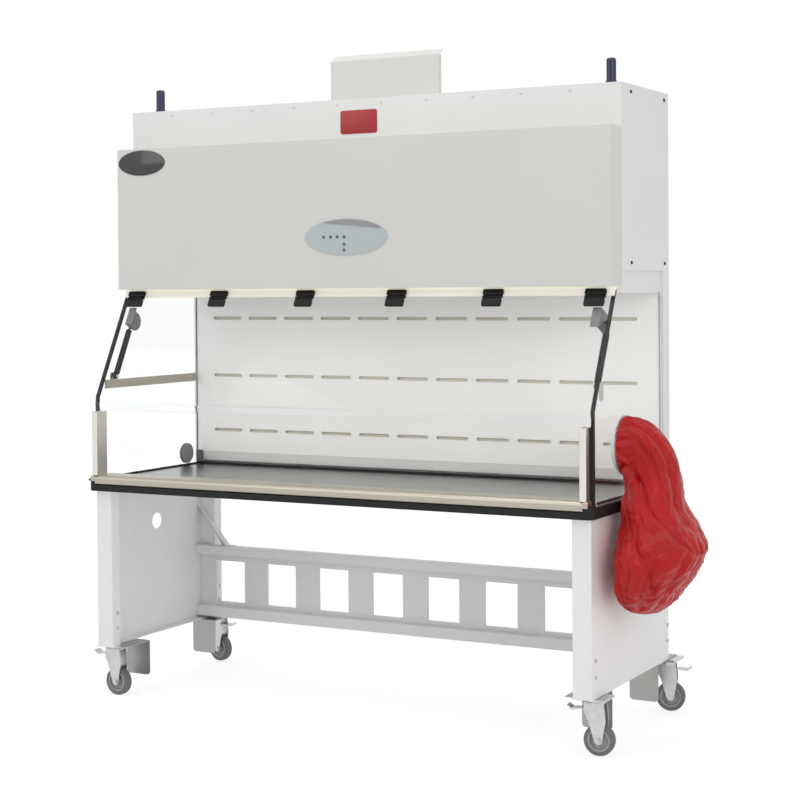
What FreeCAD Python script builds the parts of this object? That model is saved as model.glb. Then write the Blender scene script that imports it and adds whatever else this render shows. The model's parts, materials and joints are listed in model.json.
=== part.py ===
"""A wide biological safety cabinet with a hinged front window, on a rolling stand.

The cabinet frame has X across the width, Y from front to back and Z up.  X is 0 in the
middle, Y is 0 at the front of the legs and Z is 0 at the floor.  All pieces are made in that
frame, and place_at_origin() moves them so that the origin is under the middle of the whole
object.  Lengths are in millimetres.
"""
import math
import os

import FreeCAD
import Part

Vec = FreeCAD.Vector
X_AXIS = Vec(1, 0, 0)
Y_AXIS = Vec(0, 1, 0)
Z_AXIS = Vec(0, 0, 1)
LEFT, RIGHT = -1, 1
SIDES = (LEFT, RIGHT)
SIDE_NAMES = {LEFT: "left", RIGHT: "right"}

# Shared clearances and sheet
RUN_GAP = 0.3            # between moving faces
PIN_GAP = 0.08           # radial, round a pin or an axle
FIT_GAP = 0.5            # between pieces that are slid together
SHEET = 2.5

# Stand
STAND_WIDTH = 1941.0     # over the outer faces of the legs
STAND_DEPTH = 712.0
LEG_BOTTOM = 190.0
TABLE_BOTTOM = 763.0     # underside of the table, top of the legs
TABLE_THICKNESS = 36.0
TABLE_TOP = TABLE_BOTTOM + TABLE_THICKNESS
POST_WIDTH = 66.0
POST_DEPTH = 48.0
POST_CORNER = 3.0        # radius of a post's corners on the stand's front and back
SKIN_RETURN = 41.0       # folded edge of a leg's skin
SERVICE_HOLE_RADIUS = 30.0
SERVICE_HOLE_Y = 366.0
SERVICE_HOLE_Z = 607.0
BOLT_RADIUS = 4.0
BOLT_HEAD = 13.0         # across the corners
BOLT_HEAD_HEIGHT = 5.0
BOLT_HEIGHTS = (257.0, 312.0)
BOLT_INSET = 17.0        # from a leg's front or back face

# Stretcher between the rear posts
RAIL_DEPTH = 44.0
UPPER_RAIL_BOTTOM = 446.0
UPPER_RAIL_HEIGHT = 35.0
LOWER_RAIL_BOTTOM = 201.0
LOWER_RAIL_HEIGHT = 41.0
WEB_DEPTH = 12.0
WINDOW_COUNT = 8
WINDOW_MARGIN = 148.0    # from a leg's outer face to the middle of the last window
WINDOW_WIDTH = 131.0
WINDOW_BOTTOM = 258.0
WINDOW_HEIGHT = 162.0
BRACE_RISE = 160.0
BRACE_RUN = 136.0
BRACE_FLANGE = 28.0

# Casters
WHEEL_RADIUS = 50.8
WHEEL_WIDTH = 32.0
HUB_RADIUS = 37.0
HUB_WIDTH = 37.0
HUB_WEB = 10.0
AXLE_RADIUS = 5.0
CASTER_TRAIL = 14.0
FORK_PLATE = 3.0
FORK_CROWN_TOP = 173.0
FORK_CROWN_WIDTH = 64.0
FORK_BOSS_RADIUS = 13.0
KINGPIN_RADIUS = 6.0
PLATE_WIDTH = 100.0
PLATE_DEPTH = 95.0
PLATE_THICKNESS = 6.0
PEDAL_REACH = 90.0
PEDAL_WIDTH = 34.0
PEDAL_HEIGHT = 152.0
GUARD_THICKNESS = 3.0
GUARD_WIDTH = 105.0
GUARD_BOTTOM = 60.0
GUARD_CORNER = 14.0
KINGPIN_INSET = 20.5     # from the outer face of a leg
FRONT_KINGPIN_Y = 78.0
FRONT_GUARD_Y = 172.0
REAR_KINGPIN_OVERHANG = 36.0     # behind the stand's back
REAR_GUARD_INSET = 109.0         # in front of the stand's back
REAR_KINGPIN_Y = STAND_DEPTH + REAR_KINGPIN_OVERHANG
REAR_GUARD_Y = STAND_DEPTH - REAR_GUARD_INSET
LEADING, TRAILING = -1, 1     # side of the kingpin that a brake pedal is on
# name, side, kingpin y, guard y, swivel angle (at 0 the wheel trails towards +X), pedal side
CASTERS = (
    ("front_left", LEFT, FRONT_KINGPIN_Y, FRONT_GUARD_Y, -2.0, LEADING),
    ("front_right", RIGHT, FRONT_KINGPIN_Y, FRONT_GUARD_Y, 8.0, LEADING),
    ("rear_left", LEFT, REAR_KINGPIN_Y, REAR_GUARD_Y, -10.0, TRAILING),
    ("rear_right", RIGHT, REAR_KINGPIN_Y, REAR_GUARD_Y, 14.0, TRAILING),
)

# Table
TABLE_OVERHANG = 5.5      # beyond a leg's outer face
TABLE_FRONT = -19.0
TABLE_SETBACK = 6.0      # of the table's and the case's back from the stand's
TABLE_RIM = 34.0
BUMPER_THICKNESS = 9.0
BUMPER_FRONT_HEIGHT = 22.0
BUMPER_CORNER = 20.0
ARMREST_INSET = 22.0     # from each end of the table
ARMREST_FRONT = -32.0
ARMREST_BACK = 60.0
ARMREST_RISE = 22.0      # over the table
ARMREST_SHEET = 3.0
ARMREST_NOSE = 15.0
SURFACE_THICKNESS = 4.0
SURFACE_INSET = 12.0
SURFACE_FRONT = 64.0
SURFACE_LIP = 14.0

# Work chamber; heights are over the table
WALL_INSET = 1.0         # outer face of a clear side wall, from the table's end
WALL_THICKNESS = 6.0
PLENUM_DEPTH = 64.0      # from the rear wall's face to the case's back
CHAMBER_HEIGHT = 673.0
WALL_KINK_HEIGHT = 304.0
WALL_FRONT = 9.0         # front of the gasket's upright part
WINDOW_TILT = 27.0
GASKET_WIDTH = 10.0
GASKET_DEPTH = 12.0
POST_CHANNEL_INSET = 9.0 # from a side wall's outer face
POST_CHANNEL_WIDTH = 23.0
POST_CHANNEL_FRONT = -31.0
POST_CHANNEL_DEPTH = 60.0
POST_CHANNEL_HEIGHT = 253.0
POST_CHANNEL_SHEET = 2.0
SLOT_COUNT = 11
SLOT_LENGTH = 130.0
SLOT_HEIGHT = 12.5
SLOT_MARGIN = 155.0      # from a side wall's outer face to the middle of the last slot
SLOT_ROW_HEIGHTS = (141.0, 356.0, 581.0)
REAR_SHEET = 2.0
REAR_FOLD_HEIGHT = 56.0
REAR_FOLD_BACK = 14.0
REAR_SLOT_GAP = 14.0     # open air slot over the work surface
COVER_RADIUS = 98.0
COVER_HOLE_RADIUS = 73.0
COVER_THICKNESS = 4.0
COVER_Y = 255.0
COVER_RISE = 164.0
PLUG_RADIUS = 39.0
PLUG_HOLE_RADIUS = 32.0
PLUG_FLANGE = 5.0
PLUG_SETBACK = 70.0      # middle, from the rear wall's face
PLUG_RISE = 50.0
SIDE_RAIL_RISE = 332.0
SIDE_RAIL_HEIGHT = 32.0
SIDE_RAIL_THICKNESS = 4.0

# Waste port and bag
PORT_Y = 274.0
PORT_RISE = 176.0
PORT_HOLE_RADIUS = 86.0
PORT_FLANGE_RADIUS = 98.0
PORT_TUBE_WALL = 5.0
PORT_TUBE_REACH = 12.0   # beyond the outer face of the wall
PORT_INNER_REACH = 6.0
BAG_SIDES = 16
# height over the table, half thickness across X, half width along Y, middle in X from the
# wall's outer face, middle in Y
BAG_SLICES = (
    (-363.0, 16.0, 24.0, 95.0, 236.0),
    (-333.0, 46.0, 88.0, 91.0, 234.0),
    (-287.0, 76.0, 152.0, 91.0, 228.0),
    (-233.0, 105.0, 190.0, 119.0, 206.0),
    (-159.0, 134.0, 200.0, 148.0, 208.0),
    (-123.0, 135.0, 198.0, 149.0, 224.0),
    (-39.0, 99.0, 160.0, 123.0, 262.0),
    (69.0, 70.0, 124.0, 93.0, 280.0),
    (176.0, 58.0, 104.0, 72.0, 274.0),
    (241.0, 42.0, 66.0, 56.0, 274.0),
    (265.0, 24.0, 34.0, 39.0, 274.0),
)
BAG_NECK_RADIUS = 90.0
BAG_NECK_LENGTH = 40.0

# Window and its hinges
HINGE_RISE = 663.0       # over the table
HINGE_COUNT = 6
HINGE_MARGIN = 61.75     # from the pane's end to the middle of the last hinge
HINGE_WIDTH = 72.0
KNUCKLE_RADIUS = 5.0
HINGE_PIN_RADIUS = 2.5
LEAF_THICKNESS = 3.0
UPPER_LEAF_HEIGHT = 24.0
UPPER_LEAF_WIDTH = 62.0
LOWER_LEAF_HEIGHT = 31.0
LOWER_LEAF_WIDTH = 65.0
PANE_THICKNESS = 6.0
PANE_OVERHANG = 3.0      # beyond a side wall's outer face
PANE_RISE = 262.0        # bottom edge, over the table
PANE_SEAL_GAP = 0.5
LIP_HEIGHT = 27.0
LIP_THICKNESS = 12.0
WINDOW_OPEN_ANGLE = 75.0
HINGE_RAIL_HEIGHT = 12.0
HINGE_RAIL_DEPTH = 26.0
DIFFUSER_DEPTH = 44.0

# Gas struts
STRUT_INSET = 22.0       # middle of a strut, from a side wall's outer face
STRUT_LOW_Y = 98.0       # lower pivot
STRUT_LOW_RISE = 376.0   # lower pivot, over the table
STRUT_RADIUS = 8.5
STRUT_ROD_RADIUS = 4.0
STRUT_EYE_RADIUS = 9.5
STRUT_EYE_WIDTH = 12.0
STRUT_STUD_RADIUS = 4.0
STRUT_BODY_START = 11.0
STRUT_BODY_LENGTH = 172.0
BRACKET_INSET = 14.0     # middle of the bracket's plate, from the middle of the strut
BRACKET_THICKNESS = 6.0
BRACKET_HEIGHT = 68.0
BRACKET_DEPTH = 80.0
BRACKET_DROP = 34.0      # top of the bracket below the hinge, along the pane
BRACKET_FLANGE = 24.0

# Upper case
CASE_OVERHANG = 3.0      # beyond the table's end
CASE_FRONT = 254.0
CASE_RISE = 747.0        # bottom, over the table
CASE_HEIGHT = 614.0
CASE_FLANGE = 24.0
FASCIA_OVERHANG = 2.0    # beyond the case's side
FASCIA_FRONT = 157.0
FASCIA_RISE = 696.0      # bottom, over the table
FASCIA_HEIGHT = 519.0
OVERLAY_LENGTH = 330.0
OVERLAY_HEIGHT = 128.0
OVERLAY_THICKNESS = 2.0
OVERLAY_RISE = 177.0     # middle, over the fascia's bottom
KEY_RADIUS = 7.0
KEY_HEIGHT = 0.8
KEY_PITCH = 24.0
KEY_ROWS = ((-1.5, 8.0), (-0.5, 8.0), (0.5, 8.0), (1.5, 8.0), (0.6, -20.0), (1.6, -20.0))
SHIELD_Y = 440.0
SHIELD_WIDTH = 443.0
SHIELD_HEIGHT = 162.0
SHIELD_LIP_RUN = 38.0
SHIELD_LIP_RISE = 23.0
SHIELD_RETURN = 20.0
EXHAUST_WIDTH = 400.0
EXHAUST_DEPTH = 210.0
EXHAUST_GAP = 14.0       # between the shield and the filter's rim
EXHAUST_RIM = 12.0
EXHAUST_HEIGHT = 80.0
EXHAUST_PLEAT = 16.0
SUPPLY_INSET = 79.0      # from the case's side
SUPPLY_DEPTH = 330.0
SUPPLY_HEIGHT = 90.0
SUPPLY_RIM = 14.0
SUPPLY_PLEAT = 60.0
LAMP_RADIUS = 16.5
LAMP_HEIGHT = 90.0
LAMP_BASE_HEIGHT = 14.0
LAMP_BASE_RADIUS = 18.5
LAMP_INSET = 66.0        # from the case's side
LAMP_Y = 340.0

# Blower inside the case
BLOWER_RADIUS = 150.0
BLOWER_WIDTH = 240.0
BLOWER_Y = 480.0
BLOWER_RISE = 304.0      # shaft, over the case's bottom
BLOWER_INLET_RADIUS = 95.0
BLOWER_OUTLET = 110.0
IMPELLER_RADIUS = 120.0
IMPELLER_WIDTH = 190.0
IMPELLER_BLADES = 20
BLADE_DEPTH = 24.0
IMPELLER_DISC = 4.0
MOTOR_RADIUS = 60.0
MOTOR_LENGTH = 90.0
SHAFT_RADIUS = 8.0

# Values worked out from the driving ones
ARMREST_TOP = TABLE_TOP + ARMREST_RISE
CHAMBER_TOP = TABLE_TOP + CHAMBER_HEIGHT
WALL_KINK_Z = TABLE_TOP + WALL_KINK_HEIGHT
POST_CHANNEL_TOP = TABLE_TOP + POST_CHANNEL_HEIGHT
SLOT_ROWS = tuple(TABLE_TOP + height for height in SLOT_ROW_HEIGHTS)
REAR_FOLD_Z = TABLE_TOP + REAR_FOLD_HEIGHT
COVER_Z = TABLE_TOP + COVER_RISE
PLUG_Z = TABLE_TOP + PLUG_RISE
RAIL_BOTTOM_Z = TABLE_TOP + SIDE_RAIL_RISE
PORT_Z = TABLE_TOP + PORT_RISE
HINGE_Z = TABLE_TOP + HINGE_RISE
PANE_BOTTOM_Z = TABLE_TOP + PANE_RISE
STRUT_LOW = (STRUT_LOW_Y, TABLE_TOP + STRUT_LOW_RISE)
CASE_BOTTOM = TABLE_TOP + CASE_RISE
CASE_TOP = CASE_BOTTOM + CASE_HEIGHT
FASCIA_BOTTOM = TABLE_TOP + FASCIA_RISE
FASCIA_TOP = FASCIA_BOTTOM + FASCIA_HEIGHT
OVERLAY_Z = FASCIA_BOTTOM + OVERLAY_RISE
SHIELD_TOP = CASE_TOP + SHIELD_HEIGHT
BLOWER_Z = CASE_BOTTOM + BLOWER_RISE
HALF_STAND = STAND_WIDTH / 2
TABLE_HALF_WIDTH = HALF_STAND + TABLE_OVERHANG
TABLE_BACK = STAND_DEPTH - TABLE_SETBACK
CASE_BACK = TABLE_BACK
WALL_BACK = CASE_BACK - PLENUM_DEPTH
PLUG_Y = WALL_BACK - PLUG_SETBACK
ARMREST_HALF_LENGTH = TABLE_HALF_WIDTH - ARMREST_INSET
SURFACE_HALF_WIDTH = TABLE_HALF_WIDTH - SURFACE_INSET
WALL_OUTER = TABLE_HALF_WIDTH - WALL_INSET
POST_CHANNEL_OUTER = WALL_OUTER - POST_CHANNEL_INSET
STRUT_X = WALL_OUTER - STRUT_INSET
BRACKET_X = STRUT_X - BRACKET_INSET
PANE_HALF_WIDTH = WALL_OUTER + PANE_OVERHANG
CASE_HALF_WIDTH = TABLE_HALF_WIDTH + CASE_OVERHANG
FASCIA_HALF_WIDTH = CASE_HALF_WIDTH + FASCIA_OVERHANG
SUPPLY_HALF_WIDTH = CASE_HALF_WIDTH - SUPPLY_INSET
LAMP_X = CASE_HALF_WIDTH - LAMP_INSET
SLOT_PITCH = 2 * (WALL_OUTER - SLOT_MARGIN) / (SLOT_COUNT - 1)
WINDOW_PITCH = 2 * (HALF_STAND - WINDOW_MARGIN) / (WINDOW_COUNT - 1)
HINGE_PITCH = 2 * (PANE_HALF_WIDTH - HINGE_MARGIN) / (HINGE_COUNT - 1)
TILT = math.radians(WINDOW_TILT)
SLOPE_DIR = (math.sin(TILT), math.cos(TILT))
OUTWARD_DIR = (-math.cos(TILT), math.sin(TILT))
PANE_OUTER = KNUCKLE_RADIUS                          # behind the hinge axis
PANE_INNER = PANE_OUTER + PANE_THICKNESS
GASKET_PLANE = PANE_INNER + PANE_SEAL_GAP
HINGE_ALONG = (HINGE_Z - WALL_KINK_Z - GASKET_PLANE * OUTWARD_DIR[1]) / SLOPE_DIR[1]
HINGE_Y = WALL_FRONT + HINGE_ALONG * SLOPE_DIR[0] + GASKET_PLANE * OUTWARD_DIR[0]
PANE_TOP = KNUCKLE_RADIUS + 1.0                      # below the hinge axis, along the pane
PANE_LENGTH = (HINGE_Z - PANE_BOTTOM_Z) / SLOPE_DIR[1]
BRACKET_NOSE = (PANE_INNER + BRACKET_DEPTH - BRACKET_HEIGHT / 2, -BRACKET_DROP - BRACKET_HEIGHT / 2)
STRUT_HIGH = (HINGE_Y + BRACKET_NOSE[0] * SLOPE_DIR[1] + BRACKET_NOSE[1] * SLOPE_DIR[0],
              HINGE_Z - BRACKET_NOSE[0] * SLOPE_DIR[0] + BRACKET_NOSE[1] * SLOPE_DIR[1])
GUARD_TOP = LEG_BOTTOM - GUARD_THICKNESS
PLATE_TOP = GUARD_TOP
PLATE_BOTTOM = PLATE_TOP - PLATE_THICKNESS
KINGPIN_X = HALF_STAND - KINGPIN_INSET
SURFACE_TOP = TABLE_TOP + SURFACE_THICKNESS
BUMPER_TOP = TABLE_BOTTOM + BUMPER_FRONT_HEIGHT


def box(x0, x1, y0, y1, z0, z1):
    """A box between two corners."""
    return Part.makeBox(x1 - x0, y1 - y0, z1 - z0, Vec(x0, y0, z0))


def rod(radius, length, start, direction):
    """A round bar from a start point."""
    return Part.makeCylinder(radius, length, start, direction)


def across(points, x0, x1):
    """A profile of (y, z) points, extruded from x0 to x1."""
    corners = [Vec(x0, y, z) for y, z in points]
    face = Part.Face(Part.makePolygon(corners + corners[:1]))
    return face.extrude(Vec(x1 - x0, 0, 0))


def upright(points, y0, y1):
    """A profile of (x, z) points, extruded from y0 to y1."""
    corners = [Vec(x, y0, z) for x, z in points]
    face = Part.Face(Part.makePolygon(corners + corners[:1]))
    return face.extrude(Vec(0, y1 - y0, 0))


def revolve(points, centre, axis, radial):
    """A profile of (radius, height) points, turned about an axis through centre."""
    corners = [centre + radial * r + axis * h for r, h in points]
    face = Part.Face(Part.makePolygon(corners + corners[:1]))
    return face.revolve(centre, axis, 360)


def rounded(shape, radius, keep):
    """Fillet the edges that keep() picks."""
    return shape.makeFillet(radius, [edge for edge in shape.Edges if keep(edge)])


def runs_along(axis, where):
    """A test for edges along an axis whose middle passes a second test."""
    def test(edge):
        if len(edge.Vertexes) < 2:
            return False
        run = edge.Vertexes[1].Point - edge.Vertexes[0].Point
        if run.Length < 1e-6 or abs(run.dot(axis)) < 0.999 * run.Length:
            return False
        return where(edge.CenterOfMass)
    return test


def mirrored(shape):
    """The same piece on the other side of the cabinet."""
    return shape.mirror(Vec(0, 0, 0), X_AXIS)


def for_side(shape, side):
    """A piece made for the right side, put on the side asked for."""
    return shape if side == RIGHT else mirrored(shape)


def group(shapes):
    """Separate solids that share one node."""
    return Part.makeCompound(shapes)


def pyramid_stack(slices):
    """A closed solid through horizontal rings that all have the same number of corners."""
    rings = [Part.makePolygon(ring + ring[:1]) for ring in slices]
    return Part.makeLoft(rings, True, True)


# The stand

def bolt_places():
    """Y and Z of the bolts through a leg's posts."""
    front = POST_DEPTH - BOLT_INSET
    back = STAND_DEPTH - BOLT_INSET
    return [(y, z) for y in (front, back) for z in BOLT_HEIGHTS]


def post_tube(y0):
    """A square tube from the caster up to the table."""
    outer = box(HALF_STAND - POST_WIDTH, HALF_STAND, y0, y0 + POST_DEPTH, LEG_BOTTOM, TABLE_BOTTOM)
    inner = box(HALF_STAND - POST_WIDTH + SHEET, HALF_STAND - SHEET, y0 + SHEET, y0 + POST_DEPTH - SHEET,
                LEG_BOTTOM + SHEET, TABLE_BOTTOM - SHEET)
    vent_start = Vec(HALF_STAND - POST_WIDTH / 2, y0 + POST_DEPTH / 2, TABLE_BOTTOM - 2 * SHEET)
    vent = rod(POST_WIDTH / 6, 3 * SHEET, vent_start, Z_AXIS)
    stand_faces = (0.0, STAND_DEPTH)
    tube = rounded(outer, POST_CORNER, runs_along(Z_AXIS, lambda at: at.y in stand_faces))
    return tube.cut(inner).cut(vent)


def leg_skin():
    """The folded sheet that closes a leg's outer side between its posts."""
    y0 = POST_DEPTH
    y1 = STAND_DEPTH - POST_DEPTH
    wall = box(HALF_STAND - SHEET, HALF_STAND, y0, y1, LEG_BOTTOM, TABLE_BOTTOM)
    low = box(HALF_STAND - SKIN_RETURN, HALF_STAND, y0, y1, LEG_BOTTOM, LEG_BOTTOM + SHEET)
    high = box(HALF_STAND - SKIN_RETURN, HALF_STAND, y0, y1, TABLE_BOTTOM - SHEET, TABLE_BOTTOM)
    return wall.fuse(low).fuse(high)


def leg(side):
    """Two posts and the skin between them, welded as one piece."""
    rear_y = STAND_DEPTH - POST_DEPTH
    frame = post_tube(0.0).fuse(leg_skin()).fuse(post_tube(rear_y))
    for y, z in bolt_places():
        start = Vec(HALF_STAND - POST_WIDTH - SHEET, y, z)
        frame = frame.cut(rod(BOLT_RADIUS + PIN_GAP, POST_WIDTH + 2 * SHEET, start, X_AXIS))
    if side == LEFT:
        start = Vec(HALF_STAND - 2 * SHEET, SERVICE_HOLE_Y, SERVICE_HOLE_Z)
        frame = frame.cut(rod(SERVICE_HOLE_RADIUS, 3 * SHEET, start, X_AXIS))
    return for_side(frame.removeSplitter(), side)


def hexagon(across_corners, height, start, direction):
    """A bolt head or nut."""
    radius = across_corners / 2
    sideways = Y_AXIS * radius
    up = direction.cross(Y_AXIS) * radius
    turns = [math.radians(60 * i) for i in range(6)]
    corners = [start + sideways * math.cos(a) + up * math.sin(a) for a in turns]
    return Part.Face(Part.makePolygon(corners + corners[:1])).extrude(direction * height)


def leg_bolts():
    """Bolts through the posts, each with its head outside and its nut inside."""
    bolts = []
    for y, z in bolt_places():
        inside = Vec(HALF_STAND - POST_WIDTH - BOLT_HEAD_HEIGHT, y, z)
        shank = rod(BOLT_RADIUS, POST_WIDTH + 2 * BOLT_HEAD_HEIGHT, inside, X_AXIS)
        head = hexagon(BOLT_HEAD, BOLT_HEAD_HEIGHT, Vec(HALF_STAND, y, z), X_AXIS)
        nut = hexagon(BOLT_HEAD, BOLT_HEAD_HEIGHT, inside, X_AXIS)
        bolt = shank.fuse(head).fuse(nut)
        bolts += [for_side(bolt, side) for side in SIDES]
    return group(bolts)


def hollow_rail(half_length, y0, y1, z0, height):
    """A rectangular tube across the stand, open at its ends."""
    outer = box(-half_length, half_length, y0, y1, z0, z0 + height)
    inner = box(-half_length, half_length, y0 + SHEET, y1 - SHEET, z0 + SHEET, z0 + height - SHEET)
    edges = runs_along(X_AXIS, lambda at: at.y < y0 + SHEET)
    return rounded(outer, SHEET, edges).cut(inner)


def stretcher():
    """Two rails and the web with its row of windows, bolted to the rear posts' front faces."""
    back = STAND_DEPTH - POST_DEPTH
    half = HALF_STAND - SHEET - FIT_GAP
    upper = hollow_rail(half, back - RAIL_DEPTH, back, UPPER_RAIL_BOTTOM, UPPER_RAIL_HEIGHT)
    lower = hollow_rail(half, back - RAIL_DEPTH, back, LOWER_RAIL_BOTTOM, LOWER_RAIL_HEIGHT)
    web_low = LOWER_RAIL_BOTTOM + LOWER_RAIL_HEIGHT
    web = box(-half, half, back - WEB_DEPTH, back - WEB_DEPTH + SHEET, web_low, UPPER_RAIL_BOTTOM)
    first = -(WINDOW_COUNT - 1) / 2 * WINDOW_PITCH
    for i in range(WINDOW_COUNT):
        middle = first + i * WINDOW_PITCH
        x0 = middle - WINDOW_WIDTH / 2
        x1 = middle + WINDOW_WIDTH / 2
        z1 = WINDOW_BOTTOM + WINDOW_HEIGHT
        rim = box(x0 - SHEET, x1 + SHEET, back - WEB_DEPTH, back, WINDOW_BOTTOM - SHEET, z1 + SHEET)
        web = web.fuse(rim).cut(box(x0, x1, back - 2 * WEB_DEPTH, back + WEB_DEPTH, WINDOW_BOTTOM, z1))
    return upper.fuse(lower).fuse(web).removeSplitter()


def braces():
    """A folded angle on each side, from the leg down to the upper rail."""
    rail_top = UPPER_RAIL_BOTTOM + UPPER_RAIL_HEIGHT
    outer = HALF_STAND - SHEET
    back = STAND_DEPTH - POST_DEPTH
    slope = math.hypot(BRACE_RUN, BRACE_RISE)
    thick_x = SHEET * slope / BRACE_RISE
    foot = outer - BRACE_RUN
    depth = BRACE_FLANGE
    arm = upright([(foot, rail_top), (foot + thick_x, rail_top), (outer, rail_top + BRACE_RISE - thick_x),
                   (outer, rail_top + BRACE_RISE)], back - depth, back)
    web_x = BRACE_FLANGE * slope / BRACE_RISE
    web = upright([(foot, rail_top), (foot + web_x, rail_top), (outer, rail_top + BRACE_RISE - web_x),
                   (outer, rail_top + BRACE_RISE)], back - SHEET, back)
    foot_tab = box(foot - BRACE_FLANGE, foot + thick_x, back - depth, back, rail_top, rail_top + SHEET)
    top_tab = box(outer - SHEET, outer, back - depth, back, rail_top + BRACE_RISE - thick_x,
                  rail_top + BRACE_RISE + BRACE_FLANGE)
    angle = arm.fuse(web).fuse(foot_tab).fuse(top_tab).removeSplitter()
    return group([for_side(angle, side) for side in SIDES])


# The casters

def kingpin(side, y):
    """The middle of a caster's swivel, on the floor."""
    return Vec(side * KINGPIN_X, y, 0)


def swivelled(shape, side, y, angle):
    """Put a caster piece, made about its own kingpin, at its place and turn."""
    turned = shape.copy()
    turned.rotate(Vec(0, 0, 0), Z_AXIS, angle)
    turned.translate(kingpin(side, y))
    return turned


def wheel_centre():
    """The middle of a wheel, in its caster's own frame."""
    return Vec(CASTER_TRAIL, 0, WHEEL_RADIUS)


def tread():
    """The rubber tyre, with rounded shoulders."""
    half = WHEEL_WIDTH / 2
    shoulder = half * 0.45
    crown = WHEEL_RADIUS - HUB_RADIUS
    profile = [(HUB_RADIUS, -half), (WHEEL_RADIUS - crown * 0.35, -half),
               (WHEEL_RADIUS - crown * 0.08, -half + shoulder / 2),
               (WHEEL_RADIUS, -half + shoulder), (WHEEL_RADIUS, half - shoulder),
               (WHEEL_RADIUS - crown * 0.08, half - shoulder / 2),
               (WHEEL_RADIUS - crown * 0.35, half), (HUB_RADIUS, half)]
    return revolve(profile, wheel_centre(), Y_AXIS, Z_AXIS)


def hub():
    """The wheel's centre: a rim and a boss joined by a thin web."""
    boss = HUB_WIDTH / 2
    rim = WHEEL_WIDTH / 2 - 1.0
    web = HUB_WEB / 2
    rim_inner = HUB_RADIUS - 6.0
    boss_radius = 14.0
    bore = AXLE_RADIUS + PIN_GAP
    half = [(bore, boss), (boss_radius, boss), (boss_radius + 2, web), (rim_inner - 3, web),
            (rim_inner, rim), (HUB_RADIUS, rim)]
    profile = half + [(r, -h) for r, h in reversed(half)]
    return revolve(profile, wheel_centre(), Y_AXIS, Z_AXIS)


def fork_cheek():
    """The outline of a fork's side plate: wide at the crown and round at the axle."""
    top = FORK_CROWN_TOP
    crown_bottom = WHEEL_RADIUS * 2 + 14.0
    half = FORK_CROWN_WIDTH / 2
    axle = wheel_centre()
    arc = [math.radians(a) for a in (-160, -125, -90, -55, -20)]
    round_end = [(axle.x + FORK_BOSS_RADIUS * math.cos(a), axle.z + FORK_BOSS_RADIUS * math.sin(a))
                 for a in arc]
    return [(-half, top), (-half, crown_bottom + 24.0), (-half + 12.0, crown_bottom)] + round_end + [
        (half + 6.0, crown_bottom - 4.0), (half + 4.0, crown_bottom + 24.0), (half, top)]


def fork():
    """The caster's fork with its crown, its two cheeks and the axle bolt."""
    inner = HUB_WIDTH / 2 + RUN_GAP
    outer = inner + FORK_PLATE
    cheeks = [upright(fork_cheek(), y0, y0 + FORK_PLATE) for y0 in (-outer, inner)]
    half = FORK_CROWN_WIDTH / 2
    crown = box(-half, half, -outer, outer, FORK_CROWN_TOP - FORK_PLATE, FORK_CROWN_TOP)
    disc = rod(half, FORK_PLATE * 2, Vec(0, 0, FORK_CROWN_TOP - FORK_PLATE * 2), Z_AXIS)
    axle_start = Vec(CASTER_TRAIL, -outer - BOLT_HEAD_HEIGHT, WHEEL_RADIUS)
    axle = rod(AXLE_RADIUS, 2 * (outer + BOLT_HEAD_HEIGHT), axle_start, Y_AXIS)
    head = rod(BOLT_HEAD / 2 + 1, BOLT_HEAD_HEIGHT, axle_start, Y_AXIS)
    nut = rod(BOLT_HEAD / 2 + 1, BOLT_HEAD_HEIGHT, Vec(CASTER_TRAIL, outer, WHEEL_RADIUS), Y_AXIS)
    body = crown.fuse(disc).fuse(cheeks).fuse([axle, head, nut])
    bore = rod(KINGPIN_RADIUS + PIN_GAP, FORK_CROWN_TOP, Vec(0, 0, 2 * WHEEL_RADIUS), Z_AXIS)
    return body.cut(bore).removeSplitter()


def pedal_pivot(pedal_side):
    """The brake pedal's pivot, in its caster's own frame."""
    return Vec(pedal_side * (FORK_CROWN_WIDTH / 2 - 9.0), 0, PEDAL_HEIGHT - 4.0)


def pedal(pedal_side):
    """A pressed lever with an upturned toe."""
    pivot = pedal_pivot(TRAILING)
    inner = HUB_WIDTH / 2 + RUN_GAP
    thick = 3.0
    start = FORK_CROWN_WIDTH / 2 + 6.0
    toe = PEDAL_REACH - 16.0
    plate = upright([(start, PEDAL_HEIGHT - thick), (toe, PEDAL_HEIGHT - thick - 5),
                     (PEDAL_REACH, PEDAL_HEIGHT + 5),
                     (PEDAL_REACH - 2, PEDAL_HEIGHT + 8), (toe - 1, PEDAL_HEIGHT - 2), (start, PEDAL_HEIGHT)],
                    -PEDAL_WIDTH / 2, PEDAL_WIDTH / 2)
    tongue = box(pivot.x - 5.0, start + 1.0, -7.0, 7.0, PEDAL_HEIGHT - 8.0, PEDAL_HEIGHT)
    barrel = rod(5.0, 2 * (inner - RUN_GAP), Vec(pivot.x, -(inner - RUN_GAP), pivot.z), Y_AXIS)
    return for_side(plate.fuse(tongue).fuse(barrel).removeSplitter(), pedal_side)


def caster_plate(side, y):
    """The plate under a leg, with the raceway and the kingpin that the fork turns on."""
    centre = kingpin(side, y)
    plate = box(centre.x - PLATE_WIDTH / 2, centre.x + PLATE_WIDTH / 2,
                y - PLATE_DEPTH / 2, y + PLATE_DEPTH / 2, PLATE_BOTTOM, PLATE_TOP)
    plate = rounded(plate, 8.0, runs_along(Z_AXIS, lambda at: True))
    race_bottom = FORK_CROWN_TOP + RUN_GAP
    race = rod(FORK_CROWN_WIDTH / 2 - 3.0, PLATE_BOTTOM - race_bottom, Vec(centre.x, y, race_bottom), Z_AXIS)
    pin_bottom = FORK_CROWN_TOP - FORK_PLATE * 2 - 6.0
    pin = rod(KINGPIN_RADIUS, PLATE_BOTTOM - pin_bottom, Vec(centre.x, y, pin_bottom), Z_AXIS)
    return plate.fuse(race).fuse(pin)


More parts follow.
